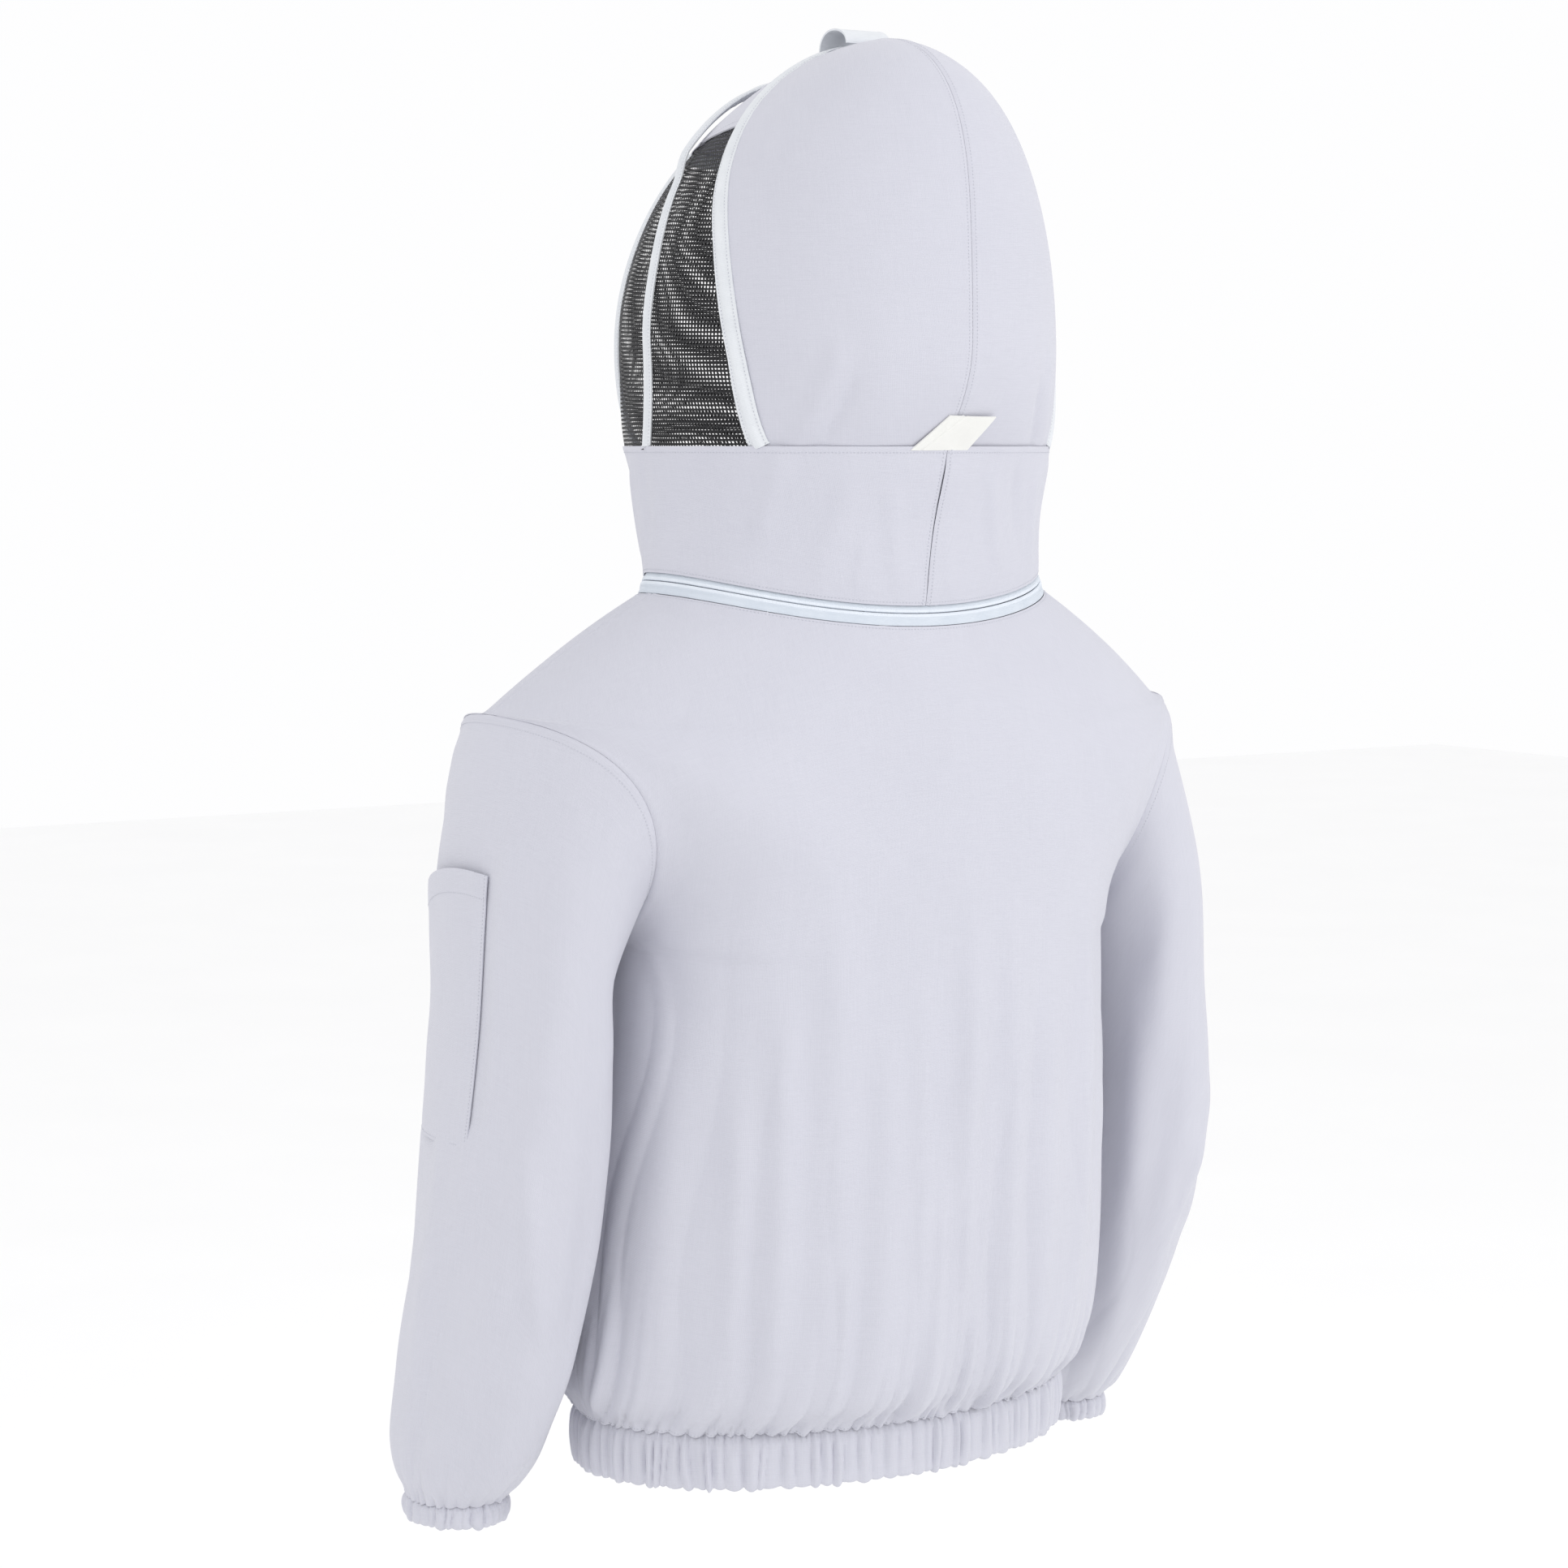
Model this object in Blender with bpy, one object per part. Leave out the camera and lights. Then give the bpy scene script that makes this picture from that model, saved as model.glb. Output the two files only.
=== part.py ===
"""Hooded beekeeping jacket with a fencing-style veil, as separate sewn pieces.

World frame: metres, +Z up, the wearer faces -Y, the wearer's left is +X. The origin is the centre of
the neck opening at the height of the neck zip at the back. All sizes below are in millimetres.
"""

import math

import bmesh
import bpy
import numpy as np

MM = 0.001

# Fabric and gaps
FABRIC = 2.0  # thickness of a sewn panel with its lining
NET = 1.2  # thickness of a veil net panel
SEAM = 0.6  # each panel stops this far short of the line that it shares with its neighbour
ARMHOLE_GAP = 2.2

# Hood: rings by height
COLLAR_TOP = 116.0
HOOD_WIDEST = 190.0  # height where the hood reaches furthest front and back
CROWN = 408.0
HOOD_CORE = 220.0  # height of the point inside the hood that its rays leave from
CROWN_Y = 59.0
HOOD_MID_Y = 10.0
HOOD_HALF_WIDTH = 151.0
HOOD_BACK, HOOD_FRONT = 109.0, 250.0  # reach from CROWN_Y at HOOD_WIDEST
COLLAR_HALF_WIDTH, COLLAR_BACK, COLLAR_FRONT = 158.0, 137.0, -157.0  # at COLLAR_TOP

# Neck zip line, an ellipse with a saddle
NECK_HALF_WIDTH, NECK_HALF_DEPTH, NECK_MID_Y = 160.0, 105.0, 9.0
NECK_SIDE_RISE, NECK_FRONT_DROP = 23.0, 10.0
NECK_FLARE = 0.4  # how far the zip band leans outwards
ZIP_GAP, ZIP_COIL, ZIP_TAPE = 0.9, 3.2, 8.6  # distances from the middle of a zip
ZIP_SEAM = 9.9  # distance from the middle of a zip to the fabric that its tape is sewn to

# Torso
HEM_TOP, HEM_BOTTOM = -580.0, -620.0
HEM_HALF_WIDTH, HEM_HALF_DEPTH, HEM_MID_Y = 199.0, 132.0, -21.5
ZIP_OPENING = 10.4  # half the width between the two fronts
UNDERARM = (205.0, -10.0, -230.0)
SHOULDER_TIP = (280.0, -17.0, -69.0)
ARMHOLE_HALF_DEPTH = 113.0
V_UNDERARM, V_TIP = 0.45, 0.75  # rows of a panel where the armhole begins and ends
POCKET_CLOTH, POCKET_LIFT, POCKET_BULGE = 1.2, 0.9, 7.5

# Cuffs
CUFF_CENTRE = (272.0, -88.0)
CUFF_HALF_WIDTH, CUFF_HALF_DEPTH = 36.0, 41.0
CUFF_TOP, CUFF_HEIGHT = -638.6, 16.0

# Hoops
WIRE, BINDING_WIDE, BINDING_THICK, BINDING_BORE = 1.5, 5.0, 3.0, 1.9  # radii
BINDING_CLEAR = 5.6  # a panel stops this far from a hoop's line
LOOP_Y, LOOP_TOP, LOOP_HALF_WIDTH, LOOP_HALF_SPAN, LOOP_THICK = 22.0, 418.0, 19.0, 17.0, 1.4
OVER_VISOR = 5.4  # the middle hoop runs over the visor, this far above it
VISOR_SIDE, VISOR_MID, VISOR_FRONT = 345.0, 336.0, 330.0  # heights of the visor's lower edge
TAB_HINGE = (6.0, COLLAR_BACK + 3.0, COLLAR_TOP + 1.2)

# Colours
WHITE = (0.80, 0.82, 0.88)
TAPE_WHITE = (0.84, 0.86, 0.88)
BLACK = (0.012, 0.012, 0.014)
COIL_WHITE = (0.86, 0.90, 0.94)
RUBBER_WHITE = (0.75, 0.75, 0.72)
STEEL = (0.62, 0.62, 0.64)


# ---------------------------------------------------------------- curves and grids


def smooth(t):
    t = np.clip(t, 0.0, 1.0)
    return t * t * (3.0 - 2.0 * t)


def through(knots, values, at):
    """A smooth curve through control values: cubic, with slopes from the neighbours."""
    knots = np.asarray(knots, float)
    values = np.asarray(values, float)
    at = np.atleast_1d(np.asarray(at, float))
    slopes = np.gradient(values, knots, axis=0)
    i = np.clip(np.searchsorted(knots, at) - 1, 0, len(knots) - 2)
    shape = (-1,) + (1,) * (values.ndim - 1)
    h = (knots[i + 1] - knots[i]).reshape(shape)
    t = ((at - knots[i]).reshape(shape)) / h
    start = (2 * t**3 - 3 * t**2 + 1) * values[i] + (t**3 - 2 * t**2 + t) * h * slopes[i]
    end = (3 * t**2 - 2 * t**3) * values[i + 1] + (t**3 - t**2) * h * slopes[i + 1]
    return start + end


def unit(v):
    return v / np.linalg.norm(v, axis=-1, keepdims=True)


def outward(grid, centre, wrap=False):
    """Unit normals of a grid of points, turned away from the centre."""
    along = np.gradient(grid, axis=0)
    if wrap:
        across = np.roll(grid, -1, 1) - np.roll(grid, 1, 1)
    else:
        across = np.gradient(grid, axis=1)
    n = unit(np.cross(across, along))
    if (n * (grid - centre)).sum() < 0:
        n = -n
    return n


def stepped_in(border, inner, gap):
    """Moves a border line towards the line inside it, until it is a gap away, measured square to it."""
    step = unit(inner - border)
    along = unit(np.gradient(border, axis=0))
    square = np.linalg.norm(np.cross(step, along), axis=-1, keepdims=True)
    return border + step * gap / np.maximum(square, 0.4)


def trim(grid, rows=(0.0, 0.0), cols=(0.0, 0.0)):
    """Moves the borders of a grid inwards by the given distances."""
    g = grid.copy()
    for edge, inner, gap in ((0, 1, rows[0]), (-1, -2, rows[1])):
        g[edge] = stepped_in(grid[edge], grid[inner], gap)
    h = g.copy()
    for edge, inner, gap in ((0, 1, cols[0]), (-1, -2, cols[1])):
        h[:, edge] = stepped_in(g[:, edge], g[:, inner], gap)
    return h


def coons(bottom, top, left, right):
    """Fills four border curves: bottom and top run along columns, left and right along rows."""
    rows, cols = len(left), len(bottom)
    v = np.linspace(0, 1, rows)[:, None, None]
    u = np.linspace(0, 1, cols)[None, :, None]
    ruled = (1 - v) * bottom[None] + v * top[None] + (1 - u) * left[:, None] + u * right[:, None]
    corners = (
        (1 - v) * (1 - u) * bottom[0] + (1 - v) * u * bottom[-1] + v * (1 - u) * top[0] + v * u * top[-1]
    )
    return ruled - corners


def shell(outer, inner, wrap=False):
    """A closed solid between two grids of the same size, as (points, faces)."""
    rows, cols = outer.shape[:2]
    count = rows * cols
    span = cols if wrap else cols - 1
    faces = []
    for i in range(rows - 1):
        for j in range(span):
            k = (j + 1) % cols
            a, b, c, d = i * cols + j, i * cols + k, (i + 1) * cols + k, (i + 1) * cols + j
            faces.append((a, b, c, d))
            faces.append((count + d, count + c, count + b, count + a))
    for i in (0, rows - 1):
        for j in range(span):
            a, b = i * cols + j, i * cols + (j + 1) % cols
            faces.append((a, b, count + b, count + a) if i else (b, a, count + a, count + b))
    if not wrap:
        for j in (0, cols - 1):
            for i in range(rows - 1):
                a, b = i * cols + j, (i + 1) * cols + j
                faces.append((b, a, count + a, count + b) if j else (a, b, count + b, count + a))
    return np.concatenate([outer.reshape(-1, 3), inner.reshape(-1, 3)]), faces


def sweep(stations, closed):
    """A solid from outlines of equal length, one at each station: a ring if closed, else capped."""
    count, sides = stations.shape[:2]
    faces = []
    for i in range(count if closed else count - 1):
        k = (i + 1) % count
        for j in range(sides):
            m = (j + 1) % sides
            faces.append((i * sides + j, i * sides + m, k * sides + m, k * sides + j))
    if not closed:
        faces.append(tuple(range(sides)))
        faces.append(tuple((count - 1) * sides + j for j in reversed(range(sides))))
    return stations.reshape(-1, 3), faces


def sections(path, out, up, outline):
    """Places a flat outline of (out, up) pairs at each point of a path."""
    outline = np.asarray(outline, float)
    return path[:, None] + outline[None, :, :1] * out[:, None] + outline[None, :, 1:] * up[:, None]


def mirrored(points):
    return points * np.array([-1.0, 1.0, 1.0])


# ---------------------------------------------------------------- Blender objects


def material(name, colour, roughness, metallic=0.0):
    made = bpy.data.materials.new(name)
    made.use_nodes = True
    shader = made.node_tree.nodes["Principled BSDF"]
    shader.inputs["Base Color"].default_value = (*colour, 1.0)
    shader.inputs["Roughness"].default_value = roughness
    shader.inputs["Metallic"].default_value = metallic
    return made


def add(name, solid, colour, roughness=0.9, metallic=0.0, pivot=(0.0, 0.0, 0.0)):
    """Makes one named object, with its origin at the pivot."""
    points, faces = solid
    pivot = np.asarray(pivot, float)
    mesh = bpy.data.meshes.new(name)
    mesh.from_pydata(((points - pivot) * MM).tolist(), [], faces)
    bm = bmesh.new()
    bm.from_mesh(mesh)
    bmesh.ops.recalc_face_normals(bm, faces=bm.faces)
    bm.to_mesh(mesh)
    bm.free()
    mesh.shade_smooth()
    mesh.set_sharp_from_angle(angle=math.radians(40))
    mesh.materials.append(material(name, colour, roughness, metallic))
    made = bpy.data.objects.new(name, mesh)
    made.location = (pivot * MM).tolist()
    bpy.context.scene.collection.objects.link(made)
    return made


def panel(name, grid, centre, thickness, colour, wrap=False, lift=0.0):
    """A fabric panel: its outer face is the grid, lifted off by a distance."""
    n = outward(grid, centre, wrap)
    add(name, shell(grid + n * lift, grid + n * (lift - thickness), wrap), colour)


# ---------------------------------------------------------------- hood surface


def hood_ring(z):
    """Half width, middle, back reach and front reach of the hood's ring at a height."""
    z = np.asarray(z, float)
    u = np.clip((z - HOOD_WIDEST) / (CROWN - HOOD_WIDEST), 0.0, 0.99999)
    low = np.sin(np.clip((z - COLLAR_TOP) / (HOOD_WIDEST - COLLAR_TOP), 0, 1) * math.pi / 2)
    round_in = (1 - u**2) ** 0.6
    wide = np.where(z < HOOD_WIDEST, COLLAR_HALF_WIDTH + (HOOD_HALF_WIDTH - COLLAR_HALF_WIDTH) * low,
                    HOOD_HALF_WIDTH * round_in)
    middle = HOOD_MID_Y + (CROWN_Y - HOOD_MID_Y) * u**2
    back_low = COLLAR_BACK + (CROWN_Y + HOOD_BACK - COLLAR_BACK) * low
    front_low = COLLAR_FRONT + (CROWN_Y - HOOD_FRONT - COLLAR_FRONT) * low
    back = np.where(z < HOOD_WIDEST, back_low, CROWN_Y + HOOD_BACK * np.sqrt(1 - u**4))
    front = np.where(z < HOOD_WIDEST, front_low, CROWN_Y - HOOD_FRONT * round_in)
    return wide, middle, back - middle, middle - front


def hood_at(angle, z):
    """Point of the hood at an angle from the centre back towards the wearer's left."""
    wide, middle, back, front = hood_ring(z)
    c = np.cos(angle)
    return np.stack([wide * np.sin(angle), middle + np.where(c > 0, back, front) * c, z + 0 * c], -1)


def hood_angle(y, z):
    """Angle at which the hood's ring at a height passes a given y."""
    _, middle, back, front = hood_ring(z)
    away = y - middle
    return np.arccos(np.clip(away / np.where(away > 0, back, front), -1, 1))


def onto_hood(points):
    """Moves points out or in to the hood's surface, along rays from inside it."""
    core = np.stack([0 * points[..., 0], 0 * points[..., 0] + HOOD_MID_Y,
                     np.minimum(points[..., 2], HOOD_CORE)], -1)
    ray = points - core
    near = np.full(points.shape[:-1], 0.3)
    far = np.full(points.shape[:-1], 3.0)
    for _ in range(40):
        k = (near + far) / 2
        p = core + ray * k[..., None]
        wide, middle, back, front = hood_ring(p[..., 2])
        away = p[..., 1] - middle
        outside = (p[..., 0] / wide) ** 2 + (away / np.where(away > 0, back, front)) ** 2 > 1
        outside |= p[..., 2] > CROWN
        far = np.where(outside, k, far)
        near = np.where(outside, near, k)
    return core + ray * ((near + far) / 2)[..., None]


# Each hoop is the line where the hood passes these y at these heights, on the wearer's left.
REAR_Z, REAR_Y = (COLLAR_TOP, 182, 254, 314, 368, 395, 405.5), (89, 77, 59, 36, 20, 20, 22)
MIDDLE_Z, MIDDLE_Y = (COLLAR_TOP, 194, 254, 305, 350, 380.5), (-10, -22, -24, -34, -42, -48)
FRONT_Z, FRONT_Y = (COLLAR_TOP, 200, 260, 300, VISOR_FRONT), (-123, -118, -105, -92, -80)


def hoop_side(zs, ys, z):
    y = through(zs, ys, z)
    return hood_at(hood_angle(y, z), z)


def even(points, count):
    """Resamples a line of points to a count, evenly along it."""
    length = np.concatenate([[0], np.cumsum(np.linalg.norm(np.diff(points, axis=0), axis=1))])
    at = np.linspace(0, length[-1], count)
    return np.stack([np.interp(at, length, points[:, i]) for i in range(3)], -1)


def rear_half(count):
    """The rear hoop from the collar, up the wearer's left side, to the middle of the crown."""
    z = np.linspace(COLLAR_TOP, 402.0, 60)
    side = hoop_side(REAR_Z, REAR_Y, z)
    crown = np.stack([np.linspace(side[-1, 0], 0, 12)[1:], np.linspace(side[-1, 1], 22, 12)[1:],
                      np.full(11, 404.0)], -1)
    return even(np.concatenate([side, onto_hood(crown)]), count)


def middle_half(count):
    z = np.linspace(COLLAR_TOP, 372.0, 60)
    side = hoop_side(MIDDLE_Z, MIDDLE_Y, z)
    top = np.stack([np.linspace(side[-1, 0], 0, 12)[1:], np.linspace(side[-1, 1], -48, 12)[1:],
                    np.full(11, 378.0)], -1)
    return even(np.concatenate([side, onto_hood(top)]), count)


def front_half(count):
    side = hoop_side(FRONT_Z, FRONT_Y, np.linspace(COLLAR_TOP, VISOR_FRONT, 50))
    start = hood_angle(side[-1, 1], VISOR_FRONT)
    brow = hood_at(np.linspace(start, math.pi, 20)[1:], np.full(19, VISOR_FRONT))
    return even(np.concatenate([side, brow]), count)


def whole(half):
    """A hoop from the wearer's left foot over the head to the right foot."""
    return np.concatenate([half, mirrored(half[-2::-1])])


def collar_edge(y_from, y_to, count):
    """The collar's top line on the wearer's left between two y."""
    ends = hood_angle(np.array([y_from, y_to], float), np.array([COLLAR_TOP] * 2))
    return hood_at(np.linspace(ends[0], ends[1], count), np.full(count, COLLAR_TOP))


# ---------------------------------------------------------------- neck line and torso surface


def neck(angle, down=0.0, out=0.0):
    """Point of the neck zip's line at an angle from the centre back, moved down the band and out."""
    s, c = np.sin(angle), np.cos(angle)
    line = np.stack([NECK_HALF_WIDTH * s, NECK_MID_Y + NECK_HALF_DEPTH * c, neck_height(angle)], -1)
    o, d = neck_directions(angle)
    return line + d * np.asarray(down)[..., None] + o * np.asarray(out)[..., None]


def neck_height(angle):
    s, c = np.abs(np.sin(angle)), np.cos(angle)
    rise = NECK_SIDE_RISE + NECK_FRONT_DROP
    front = -NECK_FRONT_DROP + rise * smooth((s - 0.625) / 0.375)
    return np.where(c > 0, NECK_SIDE_RISE * s**2, front)


def neck_directions(angle):
    """Outward across the zip band, and down along it."""
    flat = np.stack([np.sin(angle) * NECK_HALF_DEPTH, np.cos(angle) * NECK_HALF_WIDTH, 0 * angle], -1)
    flat = unit(flat)
    d = unit(flat * NECK_FLARE - np.array([0, 0, 1.0]))
    o = unit(flat + np.array([0, 0, 1.0]) * NECK_FLARE)
    return o, d


FRONT_TOP = neck(np.array([math.pi]), down=ZIP_SEAM)[0]
FRONT_LEAN = (HEM_HALF_DEPTH - HEM_MID_Y + FRONT_TOP[1]) / (HEM_TOP - FRONT_TOP[2])


def front_line(z):
    """y of the straight front zip at a height."""
    return FRONT_TOP[1] + FRONT_LEAN * (FRONT_TOP[2] - z)


def armhole(angle):
    """Armhole seam on the wearer's left: 0 at the underarm, 90 at the back, 180 at the shoulder tip."""
    low, tip = np.array(UNDERARM), np.array(SHOULDER_TIP)
    s = np.sin(angle)[..., None]
    bend = np.array([-21.0, 0.0, 22.0]) * s**2 + np.array([0, ARMHOLE_HALF_DEPTH, 0]) * s
    return (low + tip) / 2 - (tip - low) / 2 * np.cos(angle)[..., None] + bend


CENTRE_V = (0, 0.08, 0.2, 0.33, 0.45, 0.6, 0.75, 0.9, 1)
BACK_Y = (110.5, 134, 150, 157, 158, 154, 140, 124)
BACK_Z = (HEM_TOP, -552, -470, -350, -245, -160, -75, -30)
FRONT_Z_OF_V = (HEM_TOP, -552, -470, -350, -250, -165, -90, -42)
SIDE_V = (0, 0.08, 0.2, 0.33, 0.45)
SIDE_POINTS = ((HEM_HALF_WIDTH, HEM_MID_Y, HEM_TOP), (209, -21, -552), (212, -18, -470),
               (209, -14, -350), UNDERARM)


def centre_point(v, back):
    """The torso's line at the centre back or centre front, from the hem to the neck."""
    if back:
        end = neck(np.array([0.0]), down=ZIP_SEAM)[0]
        y = through(CENTRE_V, (*BACK_Y, end[1]), v)
        return np.stack([0 * y, y, through(CENTRE_V, (*BACK_Z, end[2]), v)], -1)
    z = through(CENTRE_V, (*FRONT_Z_OF_V, FRONT_TOP[2]), v)
    return np.stack([0 * z, front_line(z), z], -1)


def side_point(v, back):
    """Outer border of a torso panel: side seam, armhole, then shoulder seam."""
    v = np.asarray(v, float)
    seam = through(SIDE_V, SIDE_POINTS, np.minimum(v, V_UNDERARM))
    turn = np.clip((v - V_UNDERARM) / (V_TIP - V_UNDERARM), 0, 1) * math.pi
    loop = armhole(turn if back else 2 * math.pi - turn)
    end = neck(np.array([math.pi / 2]), down=ZIP_SEAM)[0]
    t = np.clip((v - V_TIP) / (1 - V_TIP), 0, 1)[:, None]
    tip = np.array(SHOULDER_TIP)
    shoulder = tip + (end - tip) * t + np.array([0, 0, 5.0]) * np.sin(math.pi * t)
    v = v[:, None]
    return np.where(v < V_UNDERARM, seam, np.where(v < V_TIP, loop, shoulder))


def torso(v, s, back):
    """Point of the torso on the wearer's left: v from hem to neck, s from the centre to the side."""
    v, s = np.broadcast_arrays(np.asarray(v, float), np.asarray(s, float))
    shape = v.shape
    v, s = v.ravel(), s.ravel()
    turn = 1.0 if back else -1.0
    start, end = centre_point(v, back), side_point(v, back)
    open_arm = (np.sin(np.clip((v - V_UNDERARM) / (V_TIP - V_UNDERARM), 0, 1) * math.pi) ** 2)[:, None]
    along = unit(np.concatenate([1.3 * open_arm, -turn + 0 * open_arm, -0.15 * open_arm], 1))
    roundness = through((0, 0.12, 0.6, 1), (0.552, 0.62, 0.62, 0.552), v)[:, None]
    depth = np.abs(start[:, 1:2] - end[:, 1:2])
    p1 = start + np.array([1.0, 0, 0]) * roundness * end[:, :1]
    p2 = end - along * (roundness * depth * (1 - open_arm) + 55.0 * open_arm)
    t = s[:, None]
    line = (1 - t) ** 3 * start + 3 * (1 - t) ** 2 * t * p1 + 3 * (1 - t) * t**2 * p2 + t**3 * end
    return (line + neck_pull(v, s, back)).reshape(*shape, 3)


def neck_pull(v, s, back):
    """Bends the rows near the neck onto the neck line itself."""
    angle = s * math.pi / 2 if back else math.pi - s * math.pi / 2
    end = neck(np.array([math.pi / 2]), down=ZIP_SEAM)[0]
    start = centre_point(np.array([1.0]), back)[0]
    side = np.array([0.0, 1.0 if back else -1.0, 0.0])
    t = s[:, None]
    p1 = start + np.array([1.0, 0, 0]) * 0.552 * end[0]
    p2 = end + side * 0.552 * abs(start[1] - end[1])
    line = (1 - t) ** 3 * start + 3 * (1 - t) ** 2 * t * p1 + 3 * (1 - t) * t**2 * p2 + t**3 * end
    return (neck(angle, down=ZIP_SEAM) - line) * smooth((v - 0.82) / 0.18)[:, None]


def torso_half(rows, cols, back):
    """Grid of one half of the torso, from the zip opening at the front or the middle at the back."""
    v = np.concatenate([np.linspace(0, V_UNDERARM, rows[0])[:-1],
                        np.linspace(V_UNDERARM, V_TIP, rows[1])[:-1], np.linspace(V_TIP, 1, rows[2])])
    if back:
        return torso(v[:, None], np.linspace(0, 1, cols)[None], True)
    probe = np.linspace(0, 0.2, 80)
    first = [np.interp(ZIP_OPENING, torso(np.full(80, r), probe, False)[:, 0], probe) for r in v]
    share = np.linspace(0, 1, cols)[None]
    s = np.array(first)[:, None]
    return torso(v[:, None], s + (1 - s) * share, False)


def axis_of(grid):
    """A line through the middle of the garment at the height of each point."""
    return grid * np.array([0, 0, 1.0]) + np.array([0, -5.0, 0])


# ---------------------------------------------------------------- sleeve surface

# Distance along the sleeve, then inner z, outer z, inner x, outer x, middle y, half depth
SLEEVE_RINGS = (
    (0.115, -262, -150, 211.5, 297, -12, 103),
    (0.307, -304, -290, 214.5, 309, -10, 95),
    (0.44, -366, -364, 217, 317, -12, 92),
    (0.615, -450, -450, 218.5, 321, -28, 90),
    (0.81, -546, -546, 220, 320, -56, 80),
    (0.92, -600, -600, 225, 317, -75, 64),
)


def sleeve(t, angle):
    """Point of the left sleeve: t from armhole to cuff, angle from the inner side towards the back."""
    s, c = np.sin(angle), np.cos(angle)
    rings = [armhole(angle) + np.array([1.2, 0, 0])]
    for _, z_in, z_out, x_in, x_out, y, depth in SLEEVE_RINGS:
        rings.append(np.stack([(x_in + x_out) / 2 - (x_out - x_in) / 2 * c, y + depth * s,
                               (z_in + z_out) / 2 + (z_in - z_out) / 2 * c], -1))
    rings.append(np.stack([CUFF_CENTRE[0] - CUFF_HALF_WIDTH * c, CUFF_CENTRE[1] + CUFF_HALF_DEPTH * s,
                           CUFF_TOP + 0 * c], -1))
    knots = [0.0, *(ring[0] for ring in SLEEVE_RINGS), 1.0]
    return through(knots, np.array(rings), t)


def sleeve_core(grid):
    """Middle of each ring of a sleeve grid."""
    return grid.mean(axis=1, keepdims=True) + 0 * grid


# ---------------------------------------------------------------- torso pieces


def make_torso():
    half = torso_half((8, 7, 4), 9, back=True)
    whole_back = np.concatenate([mirrored(half[:, :0:-1]), half], axis=1)
    whole_back = trim(whole_back, rows=(0.0, 0.3), cols=(SEAM, SEAM))
    panel("back_panel", whole_back, axis_of(whole_back), FABRIC, WHITE)
    front = trim(torso_half((8, 7, 4), 8, back=False), rows=(0.0, 0.3), cols=(0.0, SEAM))
    panel("front_panel_left", front, axis_of(front), FABRIC, WHITE)
    other = mirrored(front)
    panel("front_panel_right", other, axis_of(other), FABRIC, WHITE)


def band(name, path, out, outline, colour, closed, roughness=0.9):
    up = np.zeros_like(path) + np.array([0, 0, 1.0])
    add(name, sweep(sections(path, out, up, outline), closed), colour, roughness)


def channel(height, depth, wall):
    """Outline of a casing folded up round an elastic: open at the top, hanging from its outer edge."""
    return ((0, 0), (0, -height), (-depth, -height), (-depth, 0), (wall - depth, 0),
            (wall - depth, wall - height), (-wall, wall - height), (-wall, 0))


def strip(out_from, out_to, up_from, up_to):
    return ((out_to, up_to), (out_to, up_from), (out_from, up_from), (out_from, up_to))


def ellipse(centre, half_width, half_depth, z, angle):
    path = np.stack([centre[0] + half_width * np.sin(angle), centre[1] + half_depth * np.cos(angle),
                     z + 0 * angle], -1)
    out = unit(np.stack([np.sin(angle) * half_depth, np.cos(angle) * half_width, 0 * angle], -1))
    return path, out


def make_hem():
    opening = math.asin((ZIP_OPENING + 0.4) / HEM_HALF_WIDTH)
    angle = np.linspace(-math.pi + opening, math.pi - opening, 33)
    centre = (0.0, HEM_MID_Y)
    path, out = ellipse(centre, HEM_HALF_WIDTH, HEM_HALF_DEPTH, HEM_TOP - 0.6, angle)
    height = HEM_TOP - 0.6 - HEM_BOTTOM
    band("hem_casing", path, out, channel(height, 7.2, 1.6), WHITE, False)
    path, out = ellipse(centre, HEM_HALF_WIDTH, HEM_HALF_DEPTH, HEM_TOP - 0.6, angle[1:-1])
    band("hem_elastic", path, out, strip(-4.5, -2.7, -36.5, -2.5), RUBBER_WHITE, False)


def make_sleeves():
    t = np.array([0, 0.05, 0.115, 0.21, 0.307, 0.37, 0.44, 0.53, 0.615, 0.71, 0.81, 0.87, 0.92, 0.965, 1])
    turn = np.linspace(0, 2 * math.pi, 21)[:-1]
    left = trim(sleeve(t, turn), rows=(ARMHOLE_GAP, 0.0))
    for side, grid in (("left", left), ("right", mirrored(left))):
        panel(f"sleeve_{side}", grid, sleeve_core(grid), FABRIC, WHITE, wrap=True)
        sign = 1 if side == "left" else -1
        path, out = ellipse(CUFF_CENTRE, CUFF_HALF_WIDTH, CUFF_HALF_DEPTH, CUFF_TOP - 0.6, turn)
        flip = np.array([sign, 1.0, 1.0])
        band(f"cuff_casing_{side}", path * flip, out * flip, channel(CUFF_HEIGHT, 6.0, 1.4), WHITE, True)
        band(f"cuff_elastic_{side}", path * flip, out * flip, strip(-3.8, -2.4, -13.6, -2.0),
             RUBBER_WHITE, True)


def patch_pocket(name, grid, centre, lift, bulge):
    """A pocket that stands off its panel along a turned-in sewn edge, open along its top row."""
    rows, cols = grid.shape[:2]
    n = outward(grid, centre)
    u = np.minimum(np.linspace(0, 1, cols), np.linspace(1, 0, cols))
    v = np.linspace(0, 1, rows)
    rise = smooth(u / 0.2)[None, :] * smooth(v / 0.15)[:, None]
    out = (lift + bulge * rise)[..., None] * n
    add(name, shell(grid + out + n * POCKET_CLOTH, grid + out), WHITE)


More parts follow.
